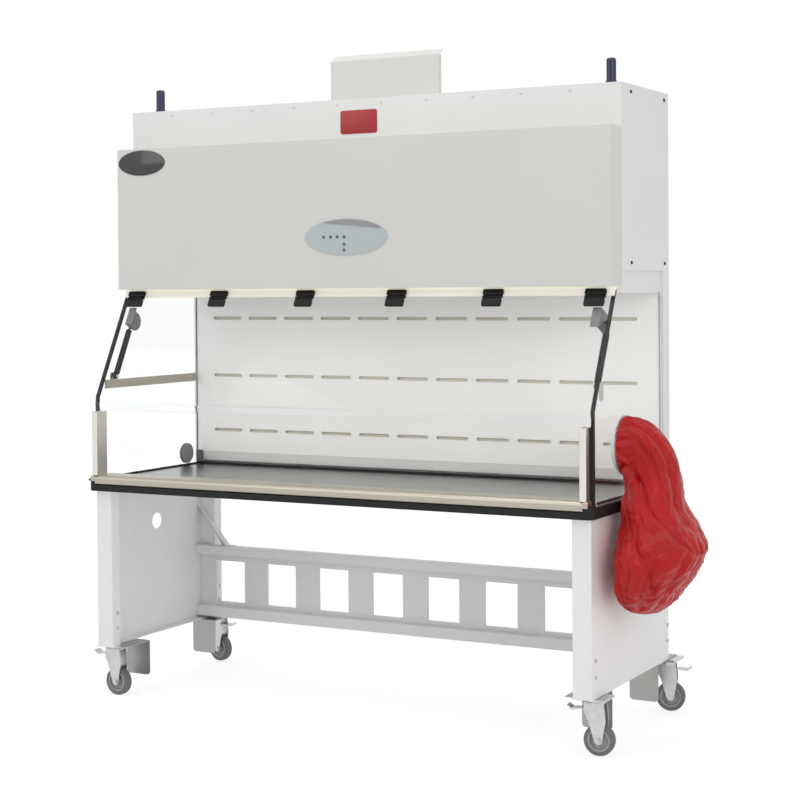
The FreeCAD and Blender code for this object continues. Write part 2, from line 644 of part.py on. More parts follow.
def guard_plate(side, kingpin_y, guard_y):
    """A bent plate: one flange under the leg, the other hanging beside the caster."""
    outer = HALF_STAND
    inner = outer - GUARD_WIDTH
    near = kingpin_y - PLATE_DEPTH / 2 if guard_y > kingpin_y else kingpin_y + PLATE_DEPTH / 2
    low_y = min(near, guard_y)
    high_y = max(near, guard_y + GUARD_THICKNESS)
    flange = box(inner, outer, low_y, high_y, GUARD_TOP, LEG_BOTTOM)
    apron = box(inner, outer, guard_y, guard_y + GUARD_THICKNESS, GUARD_BOTTOM, LEG_BOTTOM)
    apron = rounded(apron, GUARD_CORNER, runs_along(Y_AXIS, lambda at: at.z < GUARD_BOTTOM + 1))
    return for_side(flange.fuse(apron).removeSplitter(), side)


# The table

def table_frame():
    """The table's shallow pan, open on top where the work surface covers it."""
    outer = box(-TABLE_HALF_WIDTH, TABLE_HALF_WIDTH, TABLE_FRONT, TABLE_BACK, TABLE_BOTTOM, TABLE_TOP)
    cavity = box(-TABLE_HALF_WIDTH + SHEET, TABLE_HALF_WIDTH - SHEET, TABLE_FRONT + SHEET, TABLE_BACK - SHEET,
                 TABLE_BOTTOM + SHEET, TABLE_TOP - SHEET)
    opening = box(-TABLE_HALF_WIDTH + TABLE_RIM, TABLE_HALF_WIDTH - TABLE_RIM, SURFACE_FRONT + TABLE_RIM,
                  WALL_BACK - TABLE_RIM, TABLE_BOTTOM + SHEET, TABLE_TOP + SHEET)
    return outer.cut(cavity).cut(opening)


def bumper():
    """The black edge strip: low along the front, taller along both sides."""
    x1 = TABLE_HALF_WIDTH + BUMPER_THICKNESS
    front = TABLE_FRONT - BUMPER_THICKNESS
    outer = box(-x1, x1, front, TABLE_BACK, TABLE_BOTTOM, TABLE_TOP)
    outer = rounded(outer, BUMPER_CORNER, runs_along(Z_AXIS, lambda at: at.y < 0))
    inner = box(-TABLE_HALF_WIDTH, TABLE_HALF_WIDTH, TABLE_FRONT, TABLE_BACK + SHEET,
                TABLE_BOTTOM - SHEET, TABLE_TOP + SHEET)
    step = box(-ARMREST_HALF_LENGTH - FIT_GAP, ARMREST_HALF_LENGTH + FIT_GAP,
               front - SHEET, TABLE_FRONT + SHEET, BUMPER_TOP, TABLE_TOP + SHEET)
    strip = outer.cut(inner).cut(step)
    return strip


def armrest():
    """The rounded front nose: a folded sheet with an air slot behind it."""
    r = ARMREST_NOSE
    z0 = BUMPER_TOP
    z1 = ARMREST_TOP
    y0 = ARMREST_FRONT
    half = ARMREST_HALF_LENGTH
    body = box(-half, half, y0, ARMREST_BACK, z0, z1)
    body = rounded(body, r, runs_along(X_AXIS, lambda at: at.y < y0 + 1))
    t = ARMREST_SHEET
    hollow = box(-half, half, y0 + t, ARMREST_BACK + t, z0 + t, z1 - t)
    hollow = rounded(hollow, r - t, runs_along(X_AXIS, lambda at: at.y < y0 + t + 1))
    under = box(-half, half, TABLE_FRONT, ARMREST_BACK + t, z0 - t, TABLE_TOP)
    return body.cut(hollow).cut(under)


def work_surface():
    """The stainless work surface with its edges turned down into the pan."""
    back = WALL_BACK - REAR_SLOT_GAP / 2
    plate = box(-SURFACE_HALF_WIDTH, SURFACE_HALF_WIDTH, SURFACE_FRONT, back, TABLE_TOP, SURFACE_TOP)
    inset_x = TABLE_HALF_WIDTH - TABLE_RIM - FIT_GAP
    y0 = SURFACE_FRONT + TABLE_RIM + FIT_GAP
    y1 = WALL_BACK - TABLE_RIM - FIT_GAP
    lip = box(-inset_x, inset_x, y0, y1, TABLE_TOP - SURFACE_LIP, TABLE_TOP)
    void = box(-inset_x + SHEET, inset_x - SHEET, y0 + SHEET, y1 - SHEET,
               TABLE_TOP - SURFACE_LIP - 1, TABLE_TOP)
    return plate.fuse(lip.cut(void)).removeSplitter()


# The work chamber

def on_slope(along, behind):
    """A (y, z) point measured up the slope from the kink, and square behind the gasket's face."""
    y = WALL_FRONT + along * SLOPE_DIR[0] - behind * OUTWARD_DIR[0]
    z = WALL_KINK_Z + along * SLOPE_DIR[1] - behind * OUTWARD_DIR[1]
    return (y, z)


def edge_line(behind, top_z):
    """The (y, z) corners of a line that follows a side wall's front edge, from bottom to top."""
    knee = behind * math.tan(TILT / 2)
    upright_y = WALL_FRONT + behind
    bend = (upright_y, WALL_KINK_Z - knee)
    along = (top_z - WALL_KINK_Z + behind * OUTWARD_DIR[1]) / SLOPE_DIR[1]
    return [(upright_y, TABLE_TOP), bend, on_slope(along, behind)]


def gasket_top():
    """The gasket ends just under the hinge rail."""
    return FASCIA_BOTTOM - HINGE_RAIL_HEIGHT


def edge_gaskets():
    """The black edge strip on the front of each clear side wall."""
    middle = WALL_OUTER - WALL_THICKNESS / 2
    outline = edge_line(0.0, gasket_top()) + list(reversed(edge_line(GASKET_DEPTH, gasket_top())))
    strip = across(outline, middle - GASKET_WIDTH / 2, middle + GASKET_WIDTH / 2)
    return group([for_side(strip, side) for side in SIDES])


def side_wall(side):
    """A clear side wall: upright at its foot, then sloping back with the window."""
    front = edge_line(GASKET_DEPTH, CHAMBER_TOP)
    outline = front + [(WALL_BACK, CHAMBER_TOP), (WALL_BACK, TABLE_TOP)]
    wall = across(outline, WALL_OUTER - WALL_THICKNESS, WALL_OUTER)
    start_x = WALL_OUTER - 2 * WALL_THICKNESS
    if side == LEFT:
        holes = [(COVER_Y, COVER_Z, COVER_HOLE_RADIUS + PIN_GAP),
                 (PLUG_Y, PLUG_Z, PLUG_HOLE_RADIUS + PIN_GAP)]
    else:
        holes = [(PORT_Y, PORT_Z, PORT_HOLE_RADIUS + PIN_GAP)]
    for y, z, radius in holes:
        wall = wall.cut(rod(radius, 3 * WALL_THICKNESS, Vec(start_x, y, z), X_AXIS))
    return for_side(wall, side)


def corner_posts():
    """A stainless channel beside each wall's front edge, standing on the armrest."""
    x1 = POST_CHANNEL_OUTER
    x0 = x1 - POST_CHANNEL_WIDTH
    y0 = POST_CHANNEL_FRONT
    y1 = y0 + POST_CHANNEL_DEPTH
    t = POST_CHANNEL_SHEET
    outer = box(x0, x1, y0, y1, ARMREST_TOP, POST_CHANNEL_TOP)
    outer = rounded(outer, 2 * t, runs_along(Z_AXIS, lambda at: at.y < y0 + 1))
    channel = outer.cut(box(x0 + t, x1 - t, y0 + t, y1 + t, ARMREST_TOP, POST_CHANNEL_TOP))
    return group([for_side(channel, side) for side in SIDES])


def slot_cutter(middle, z, y0, y1):
    """A long slot with rounded ends."""
    radius = SLOT_HEIGHT / 2
    reach = SLOT_LENGTH / 2 - radius
    bar = box(middle - reach, middle + reach, y0, y1, z - radius, z + radius)
    ends = [rod(radius, y1 - y0, Vec(middle + s * reach, y0, z), Y_AXIS) for s in (-1, 1)]
    return bar.fuse(ends)


def slotted_wall():
    """The chamber's rear wall, with its rows of air slots and a foot folded back."""
    t = REAR_SHEET
    y = WALL_BACK
    foot = SURFACE_TOP + REAR_SLOT_GAP
    outline = [(y, CHAMBER_TOP), (y, REAR_FOLD_Z), (y + REAR_FOLD_BACK, foot), (y + REAR_FOLD_BACK + t, foot),
               (y + t, REAR_FOLD_Z), (y + t, CHAMBER_TOP)]
    half = WALL_OUTER - WALL_THICKNESS
    wall = across(outline, -half, half)
    first = -(SLOT_COUNT - 1) / 2 * SLOT_PITCH
    slots = [slot_cutter(first + i * SLOT_PITCH, z, y - t, y + 2 * t)
             for z in SLOT_ROWS for i in range(SLOT_COUNT)]
    return wall.cut(slots)


def rear_plenum():
    """The sheet channel behind the slotted wall: a back, two sides and narrow front flanges."""
    half = CASE_HALF_WIDTH
    inside = half - SHEET
    front = WALL_BACK + REAR_SHEET
    back = CASE_BACK - SHEET
    outer = box(-half, half, front, CASE_BACK, TABLE_TOP, CASE_BOTTOM)
    cavity = box(-inside, inside, front + SHEET, back, TABLE_TOP, CASE_BOTTOM)
    mouth_half = WALL_OUTER - WALL_THICKNESS - CASE_FLANGE / 2
    mouth = box(-mouth_half, mouth_half, WALL_BACK, back, TABLE_TOP, CASE_BOTTOM)
    below_fold = box(-inside, inside, WALL_BACK, back, TABLE_TOP, REAR_FOLD_Z)
    return outer.cut(cavity).cut(mouth).cut(below_fold)


def ceiling_plenum():
    """The shallow box over the chamber: side skirts and the pierced ceiling under the filter."""
    half = WALL_OUTER - SHEET
    y1 = WALL_BACK + REAR_SHEET
    outer = box(-half, half, CASE_FRONT, y1, CHAMBER_TOP, CASE_BOTTOM)
    cavity = box(-half + SHEET, half - SHEET, CASE_FRONT + SHEET, y1 - SHEET,
                 CHAMBER_TOP + SHEET, CASE_BOTTOM)
    return outer.cut(cavity)


def port_cover():
    """The blanked port in the left wall: a disc outside and a plug that fills the hole."""
    start = Vec(WALL_OUTER - WALL_THICKNESS, COVER_Y, COVER_Z)
    core = rod(COVER_HOLE_RADIUS, WALL_THICKNESS, start, X_AXIS)
    disc = rod(COVER_RADIUS, COVER_THICKNESS, Vec(WALL_OUTER, COVER_Y, COVER_Z), X_AXIS)
    return mirrored(core.fuse(disc).removeSplitter())


def port_plug():
    """The grey rubber plug with a flange on both sides of the wall."""
    x0 = WALL_OUTER - WALL_THICKNESS
    profile = [(0, -PLUG_FLANGE), (PLUG_RADIUS - 3, -PLUG_FLANGE), (PLUG_RADIUS, -PLUG_FLANGE / 2),
               (PLUG_RADIUS, 0), (PLUG_HOLE_RADIUS, 0),
               (PLUG_HOLE_RADIUS, WALL_THICKNESS), (PLUG_RADIUS, WALL_THICKNESS),
               (PLUG_RADIUS, WALL_THICKNESS + PLUG_FLANGE / 2),
               (PLUG_RADIUS - 3, WALL_THICKNESS + PLUG_FLANGE),
               (0, WALL_THICKNESS + PLUG_FLANGE)]
    return mirrored(revolve(profile, Vec(x0, PLUG_Y, PLUG_Z), X_AXIS, Z_AXIS))


def waste_ring():
    """The waste port's collar: a tube through the right wall with a flange outside."""
    x0 = WALL_OUTER - WALL_THICKNESS - PORT_INNER_REACH
    length = WALL_THICKNESS + PORT_INNER_REACH + PORT_TUBE_REACH
    tube = rod(PORT_HOLE_RADIUS, length, Vec(x0, PORT_Y, PORT_Z), X_AXIS)
    flange = rod(PORT_FLANGE_RADIUS, COVER_THICKNESS, Vec(WALL_OUTER, PORT_Y, PORT_Z), X_AXIS)
    bore = rod(PORT_HOLE_RADIUS - PORT_TUBE_WALL, length + 2, Vec(x0 - 1, PORT_Y, PORT_Z), X_AXIS)
    return tube.fuse(flange).cut(bore)


def bag_ring(z, half_x, half_y, middle_x, middle_y):
    """One oval slice of the bag."""
    turns = [2 * math.pi * (i + 0.5) / BAG_SIDES for i in range(BAG_SIDES)]
    x = WALL_OUTER + middle_x
    return [Vec(x + half_x * math.cos(a), middle_y + half_y * math.sin(a), TABLE_TOP + z) for a in turns]


def waste_bag():
    """The hanging bag, gathered over the collar, as one closed form."""
    body = pyramid_stack([bag_ring(*row) for row in BAG_SLICES])
    mouth_x = WALL_OUTER + PORT_TUBE_REACH
    neck = rod(BAG_NECK_RADIUS, BAG_NECK_LENGTH, Vec(mouth_x, PORT_Y, PORT_Z), X_AXIS)
    return body.fuse(neck)


# The window

def in_window(shape):
    """Put a piece, made about the hinge axis with the pane hanging straight down, in its slope."""
    placed = shape.copy()
    placed.rotate(Vec(0, 0, 0), X_AXIS, -WINDOW_TILT)
    placed.translate(Vec(0, HINGE_Y, HINGE_Z))
    return placed


def window_pane():
    """The clear pane."""
    return in_window(box(-PANE_HALF_WIDTH, PANE_HALF_WIDTH, PANE_OUTER, PANE_INNER, -PANE_LENGTH, -PANE_TOP))


def window_lip():
    """The clear grip strip along the pane's lower edge."""
    strip = box(-PANE_HALF_WIDTH, PANE_HALF_WIDTH, PANE_OUTER - LIP_THICKNESS, PANE_OUTER, -PANE_LENGTH,
                -PANE_LENGTH + LIP_HEIGHT)
    return in_window(rounded(strip, 3.0, runs_along(X_AXIS, lambda at: at.y < PANE_OUTER - 1)))


def hinge_places():
    """X of the hinges, evenly spaced about the middle."""
    first = -(HINGE_COUNT - 1) / 2 * HINGE_PITCH
    return [first + i * HINGE_PITCH for i in range(HINGE_COUNT)]


def leaf(x, width, z0, z1):
    """One hinge plate on the outer face, with rounded far corners."""
    y0 = PANE_OUTER - LEAF_THICKNESS
    plate = box(x - width / 2, x + width / 2, y0, PANE_OUTER, min(z0, z1), max(z0, z1))
    return rounded(plate, 6.0, runs_along(Y_AXIS, lambda at: abs(at.z - z1) < 1))


def knuckle(x0, x1):
    """A length of hinge barrel about the hinge axis."""
    return rod(KNUCKLE_RADIUS, x1 - x0, Vec(x0, 0, 0), X_AXIS)


def hinge_upper_leaves():
    """The fixed leaves, each with two end knuckles and the pin pressed through them."""
    leaves = []
    end = HINGE_WIDTH / 4
    for x in hinge_places():
        left = x - HINGE_WIDTH / 2
        right = x + HINGE_WIDTH / 2
        plate = leaf(x, UPPER_LEAF_WIDTH, KNUCKLE_RADIUS + RUN_GAP, UPPER_LEAF_HEIGHT)
        webs = [box(x0, x1, PANE_OUTER - LEAF_THICKNESS, PANE_OUTER, 0, KNUCKLE_RADIUS + 2 * RUN_GAP)
                for x0, x1 in ((x - UPPER_LEAF_WIDTH / 2, left + end),
                               (right - end, x + UPPER_LEAF_WIDTH / 2))]
        pin = rod(HINGE_PIN_RADIUS, HINGE_WIDTH, Vec(left, 0, 0), X_AXIS)
        ends = [knuckle(left, left + end), knuckle(right - end, right)]
        leaves.append(in_window(plate.fuse(webs).fuse(ends).fuse(pin).removeSplitter()))
    return group(leaves)


def hinge_lower_leaves():
    """The moving leaves, each with one middle knuckle round the pin."""
    leaves = []
    reach = HINGE_WIDTH / 4 - RUN_GAP
    for x in hinge_places():
        plate = leaf(x, LOWER_LEAF_WIDTH, -PANE_TOP, -LOWER_LEAF_HEIGHT)
        web = box(x - reach, x + reach, PANE_OUTER - LEAF_THICKNESS, PANE_OUTER, -PANE_TOP - 1, 0)
        barrel = knuckle(x - reach, x + reach)
        bore = rod(HINGE_PIN_RADIUS + PIN_GAP, HINGE_WIDTH, Vec(x - HINGE_WIDTH / 2, 0, 0), X_AXIS)
        leaves.append(in_window(plate.fuse(web).fuse(barrel).cut(bore).removeSplitter()))
    return group(leaves)


def hinge_rail():
    """The rail under the fascia that carries the upper leaves."""
    foot = KNUCKLE_RADIUS + 2.0
    tall = UPPER_LEAF_HEIGHT + 4.0
    slab = in_window(box(-PANE_HALF_WIDTH, PANE_HALF_WIDTH, PANE_OUTER, PANE_INNER, foot, 3 * tall))
    trim = box(-CASE_HALF_WIDTH, CASE_HALF_WIDTH, 0, CASE_BACK, FASCIA_BOTTOM, CASE_TOP)
    web = slab.cut(trim)
    y0 = HINGE_Y
    ledge = box(-PANE_HALF_WIDTH, PANE_HALF_WIDTH, y0 + HINGE_RAIL_DEPTH / 2, y0 + 2 * HINGE_RAIL_DEPTH,
                FASCIA_BOTTOM - SHEET, FASCIA_BOTTOM)
    return web.fuse(ledge).removeSplitter()


def light_diffuser():
    """The lamp's translucent cover behind the hinge rail."""
    y0 = HINGE_Y + 2 * HINGE_RAIL_DEPTH - DIFFUSER_DEPTH / 2
    y1 = CASE_FRONT - FIT_GAP
    z1 = FASCIA_BOTTOM - SHEET
    half = PANE_HALF_WIDTH - DIFFUSER_DEPTH
    cover = box(-half, half, y0, y1, CHAMBER_TOP + SHEET, z1)
    return rounded(cover, 6.0, runs_along(X_AXIS, lambda at: at.z < CHAMBER_TOP + SHEET + 1))


# The gas struts

def strut_direction(low, high):
    """Unit direction in Y and Z, and the length, from the lower to the upper pivot."""
    run = Vec(0, high[0] - low[0], high[1] - low[1])
    return run.normalize(), math.hypot(high[0] - low[0], high[1] - low[1])


def strut_cylinder(side):
    """The strut's pressure tube with its lower eye."""
    direction, length = strut_direction(STRUT_LOW, STRUT_HIGH)
    low = Vec(STRUT_X, *STRUT_LOW)
    tube = rod(STRUT_RADIUS, STRUT_BODY_LENGTH, low + direction * STRUT_BODY_START, direction)
    collar = rod(STRUT_RADIUS - 2.0, STRUT_BODY_START, low + direction * 2.0, direction)
    eye = rod(STRUT_EYE_RADIUS, STRUT_EYE_WIDTH, low - X_AXIS * (STRUT_EYE_WIDTH / 2), X_AXIS)
    bore = rod(STRUT_ROD_RADIUS + PIN_GAP, length, low + direction * (STRUT_EYE_RADIUS + 6.0), direction)
    hole = rod(STRUT_STUD_RADIUS + PIN_GAP, 3 * STRUT_EYE_WIDTH, low - X_AXIS * (1.5 * STRUT_EYE_WIDTH),
               X_AXIS)
    return for_side(tube.fuse(collar).fuse(eye).cut(bore).cut(hole).removeSplitter(), side)


def strut_rod(side):
    """The strut's sliding rod with its upper end, whose stud meets the window's bracket."""
    direction, length = strut_direction(STRUT_LOW, STRUT_HIGH)
    low = Vec(STRUT_X, *STRUT_LOW)
    high = Vec(STRUT_X, *STRUT_HIGH)
    start = STRUT_EYE_RADIUS + 40.0
    shaft = rod(STRUT_ROD_RADIUS, length - start, low + direction * start, direction)
    sleeve_start = STRUT_BODY_START + STRUT_BODY_LENGTH + 16.0
    sleeve = rod(STRUT_RADIUS - 1.5, length - sleeve_start, low + direction * sleeve_start, direction)
    end = rod(STRUT_EYE_RADIUS - 1, STRUT_EYE_WIDTH, high - X_AXIS * (STRUT_EYE_WIDTH / 2), X_AXIS)
    plate_face = BRACKET_X + BRACKET_THICKNESS / 2 + RUN_GAP
    stud = rod(STRUT_STUD_RADIUS, STRUT_X - plate_face, Vec(plate_face, *STRUT_HIGH), X_AXIS)
    return for_side(shaft.fuse(sleeve).fuse(end).fuse(stud).removeSplitter(), side)


def strut_brackets():
    """The half-round plates on the window's inner face that the struts push on."""
    top = -BRACKET_DROP
    low = top - BRACKET_HEIGHT
    radius = BRACKET_HEIGHT / 2
    x0 = BRACKET_X - BRACKET_THICKNESS / 2
    x1 = BRACKET_X + BRACKET_THICKNESS / 2
    reach = PANE_INNER + BRACKET_DEPTH - radius
    plate = box(x0, x1, PANE_INNER, reach, low, top)
    nose = rod(radius, BRACKET_THICKNESS, Vec(x0, reach, (low + top) / 2), X_AXIS)
    flange = box(x0 - BRACKET_FLANGE, x1, PANE_INNER, PANE_INNER + 4.0, low, top)
    bolt_hole = rod(4.5, 3 * BRACKET_THICKNESS, Vec(x0 - BRACKET_THICKNESS, reach - radius, top - 12.0),
                    X_AXIS)
    bracket = in_window(plate.fuse(nose).fuse(flange).removeSplitter().cut(bolt_hole))
    return group([for_side(bracket, side) for side in SIDES])


def strut_mounts():
    """The steel rail on the left wall, and on each wall the tab and stud for a strut's eye."""
    face = WALL_OUTER - WALL_THICKNESS
    y, z = STRUT_LOW
    tab = box(face - SIDE_RAIL_THICKNESS, face, y - 14.0, y + 14.0, RAIL_BOTTOM_Z, z + 14.0)
    tab = rounded(tab, 10.0, runs_along(X_AXIS, lambda at: at.z > z))
    stud_tip = STRUT_X - STRUT_EYE_WIDTH / 2 - 3.0
    stud = rod(STRUT_STUD_RADIUS, face - stud_tip, Vec(stud_tip, y, z), X_AXIS)
    mount = tab.fuse(stud)
    rail_top = RAIL_BOTTOM_Z + SIDE_RAIL_HEIGHT
    gasket_back = edge_line(GASKET_DEPTH, rail_top)[-1][0]
    rail = box(face - SIDE_RAIL_THICKNESS, face, gasket_back + FIT_GAP, WALL_BACK, RAIL_BOTTOM_Z, rail_top)
    left = mirrored(mount.fuse(rail).removeSplitter())
    return group([left, mount.removeSplitter()])


# The upper case

def upper_case():
    """The case: a sheet shell with a roof opening over the exhaust and an open floor."""
    half = CASE_HALF_WIDTH
    t = SHEET
    outer = box(-half, half, CASE_FRONT, CASE_BACK, CASE_BOTTOM, CASE_TOP)
    inner = box(-half + t, half - t, CASE_FRONT + t, CASE_BACK - t, CASE_BOTTOM + t, CASE_TOP - t)
    y0, y1 = exhaust_span()
    roof = box(-EXHAUST_WIDTH / 2 - FIT_GAP, EXHAUST_WIDTH / 2 + FIT_GAP, y0 - FIT_GAP, y1 + FIT_GAP,
               CASE_TOP - 2 * t, CASE_TOP + t)
    sill = CASE_FLANGE
    floor = box(-SUPPLY_HALF_WIDTH + sill, SUPPLY_HALF_WIDTH - sill, CASE_FRONT + t + 2 * sill,
                WALL_BACK - 2 * sill, CASE_BOTTOM - t, CASE_BOTTOM + 2 * t)
    back_slot = box(-half + 2 * sill, half - 2 * sill, WALL_BACK + sill / 4 + t, CASE_BACK - 2 * t,
                    CASE_BOTTOM - t, CASE_BOTTOM + 2 * t)
    return outer.cut(inner).cut(roof).cut(floor).cut(back_slot)


def exhaust_span():
    """Front and back of the exhaust filter's body."""
    y0 = SHIELD_Y + SHIELD_RETURN + EXHAUST_GAP + EXHAUST_RIM - SHIELD_RETURN
    return y0, y0 + EXHAUST_DEPTH


def pleated_core(x0, x1, y0, y1, z0, z1, pitch):
    """A pleated sheet that fills a frame, folded along X."""
    count = max(2, int((x1 - x0) / pitch))
    step = (x1 - x0) / count
    wall = step / 4
    top = []
    low = []
    for i in range(count + 1):
        x = x0 + i * step
        z = z0 + wall if i % 2 else z1
        top.append((x, z))
        low.append((x, z - wall))
    return upright(top + list(reversed(low)), y0, y1)


def exhaust_filter():
    """The exhaust filter: a rim on the roof, a frame below it and the pleated pack."""
    y0, y1 = exhaust_span()
    half = EXHAUST_WIDTH / 2
    rim = box(-half - EXHAUST_RIM, half + EXHAUST_RIM, y0 - EXHAUST_RIM, y1 + EXHAUST_RIM,
              CASE_TOP, CASE_TOP + EXHAUST_RIM)
    frame = box(-half, half, y0, y1, CASE_TOP - EXHAUST_HEIGHT, CASE_TOP)
    void = box(-half + EXHAUST_RIM, half - EXHAUST_RIM, y0 + EXHAUST_RIM, y1 - EXHAUST_RIM,
               CASE_TOP - EXHAUST_HEIGHT - 1, CASE_TOP + 2 * EXHAUST_RIM)
    pack = pleated_core(-half + EXHAUST_RIM, half - EXHAUST_RIM, y0 + EXHAUST_RIM, y1 - EXHAUST_RIM,
                        CASE_TOP - EXHAUST_HEIGHT, CASE_TOP, EXHAUST_PLEAT)
    return rim.fuse(frame).cut(void).fuse(pack).removeSplitter()


def supply_filter():
    """The supply filter on the case's floor: a frame and its pleated pack."""
    half = SUPPLY_HALF_WIDTH
    y0 = CASE_FRONT + SHEET + CASE_FLANGE
    y1 = y0 + SUPPLY_DEPTH
    z0 = CASE_BOTTOM + SHEET
    z1 = z0 + SUPPLY_HEIGHT
    rim = SUPPLY_RIM
    opening = box(-half + rim, half - rim, y0 + rim, y1 - rim, z0 - 1, z1 + 1)
    frame = box(-half, half, y0, y1, z0, z1).cut(opening)
    pack = pleated_core(-half + rim, half - rim, y0 + rim, y1 - rim, z0, z1, SUPPLY_PLEAT)
    return frame.fuse(pack).removeSplitter()


def exhaust_shield():
    """The upright guard in front of the exhaust, with a sloping top lip and side returns."""
    half = SHIELD_WIDTH / 2
    y = SHIELD_Y
    t = SHEET
    tip = (y + SHIELD_LIP_RUN, SHIELD_TOP + SHIELD_LIP_RISE)
    front = across([(y, CASE_TOP), (y, SHIELD_TOP), tip, (tip[0], tip[1] - t),
                    (y + t, SHIELD_TOP - t / 2), (y + t, CASE_TOP)],
                   -half, half)
    returns = [box(x, x + t, y, y + SHIELD_RETURN, CASE_TOP, SHIELD_TOP) for x in (-half, half - t)]
    foot = box(-half, half, y, y + EXHAUST_GAP, CASE_TOP, CASE_TOP + t)
    return front.fuse(returns).fuse(foot).removeSplitter()


def fascia_panel():
    """The front control panel: a folded sheet tray hung on the case's front."""
    half = FASCIA_HALF_WIDTH
    t = SHEET
    outer = box(-half, half, FASCIA_FRONT, CASE_FRONT, FASCIA_BOTTOM, FASCIA_TOP)
    outer = rounded(outer, 2.0, runs_along(Z_AXIS, lambda at: at.y < FASCIA_FRONT + 1))
    inner = box(-half + t, half - t, FASCIA_FRONT + t, CASE_FRONT + t, FASCIA_BOTTOM + t, FASCIA_TOP - t)
    return outer.cut(inner)


def oval_prism(length, height, y0, y1, z):
    """An upright oval plate."""
    oval = Part.Ellipse(Vec(0, 0, 0), length / 2, height / 2).toShape()
    face = Part.Face(Part.Wire(oval))
    face.rotate(Vec(0, 0, 0), X_AXIS, 90)
    face.translate(Vec(0, y1, z))
    return face.extrude(Vec(0, y0 - y1, 0))


def control_overlay():
    """The oval membrane panel with its raised key domes."""
    back = FASCIA_FRONT
    front = back - OVERLAY_THICKNESS
    plate = oval_prism(OVERLAY_LENGTH, OVERLAY_HEIGHT, front, back, OVERLAY_Z)
    keys = []
    for column, drop in KEY_ROWS:
        at = Vec(column * KEY_PITCH, front - KEY_HEIGHT, OVERLAY_Z + drop)
        keys.append(rod(KEY_RADIUS, KEY_HEIGHT + OVERLAY_THICKNESS / 2, at, Y_AXIS))
    return plate.fuse(keys)


def status_lamps():
    """A short domed lamp on a ribbed base at each end of the roof."""
    cap = LAMP_RADIUS * 0.35
    z0 = 0.0
    profile = [(0, z0), (LAMP_BASE_RADIUS, z0), (LAMP_BASE_RADIUS, LAMP_BASE_HEIGHT / 3),
               (LAMP_RADIUS, LAMP_BASE_HEIGHT / 2), (LAMP_BASE_RADIUS, LAMP_BASE_HEIGHT * 2 / 3),
               (LAMP_BASE_RADIUS, LAMP_BASE_HEIGHT), (LAMP_RADIUS, LAMP_BASE_HEIGHT),
               (LAMP_RADIUS, LAMP_HEIGHT - cap), (LAMP_RADIUS - cap * 0.4, LAMP_HEIGHT - cap * 0.3),
               (LAMP_RADIUS - cap, LAMP_HEIGHT), (0, LAMP_HEIGHT)]
    return group([revolve(profile, Vec(side * LAMP_X, LAMP_Y, CASE_TOP), Z_AXIS, X_AXIS) for side in SIDES])


# The blower inside the case

def blower_housing():
    """The fan scroll: a drum with round inlets and an outlet duct, on a bracket to the case's back."""
    half = BLOWER_WIDTH / 2
    centre = Vec(-half, BLOWER_Y, BLOWER_Z)
    drum = rod(BLOWER_RADIUS, BLOWER_WIDTH, centre, X_AXIS)
    duct = box(-half, half, BLOWER_Y, BLOWER_Y + BLOWER_RADIUS,
               BLOWER_Z - BLOWER_RADIUS - BLOWER_OUTLET / 2, BLOWER_Z)
    inside = rod(BLOWER_RADIUS - SHEET, BLOWER_WIDTH - 2 * SHEET, centre + X_AXIS * SHEET, X_AXIS)
    duct_inside = box(-half + SHEET, half - SHEET, BLOWER_Y + SHEET, BLOWER_Y + BLOWER_RADIUS - SHEET,
                      BLOWER_Z - BLOWER_RADIUS - BLOWER_OUTLET, BLOWER_Z)
    inlets = rod(BLOWER_INLET_RADIUS, 2 * BLOWER_WIDTH, centre - X_AXIS * half, X_AXIS)
    bracket = box(-half, half, BLOWER_Y, CASE_BACK - SHEET, BLOWER_Z - SHEET, BLOWER_Z)
    shell = drum.fuse(duct).fuse(bracket).cut(inside).cut(duct_inside).cut(inlets)
    return shell.removeSplitter()


def blower_impeller():
    """The wheel: blades between two rings, and a disc that carries them on the shaft."""
    half = IMPELLER_WIDTH / 2
    axis_low = Vec(-half, BLOWER_Y, BLOWER_Z)
    tip = IMPELLER_RADIUS
    root = tip - BLADE_DEPTH
    disc = rod(tip, IMPELLER_DISC, axis_low, X_AXIS)
    ring = rod(tip, IMPELLER_DISC, Vec(half - IMPELLER_DISC, BLOWER_Y, BLOWER_Z), X_AXIS)
    ring = ring.cut(rod(root, 3 * IMPELLER_DISC, Vec(half - 2 * IMPELLER_DISC, BLOWER_Y, BLOWER_Z), X_AXIS))
    blades = []
    for i in range(IMPELLER_BLADES):
        blade = box(-half, half, root - 1, tip - 1, -1.0, 1.0)
        blade.rotate(Vec(0, 0, 0), X_AXIS, 360.0 * i / IMPELLER_BLADES)
        blade.translate(Vec(0, BLOWER_Y, BLOWER_Z))
        blades.append(blade)
    bore = rod(SHAFT_RADIUS + PIN_GAP, 3 * IMPELLER_DISC, axis_low - X_AXIS * IMPELLER_DISC, X_AXIS)
    return disc.fuse(ring).fuse(blades).cut(bore).removeSplitter()


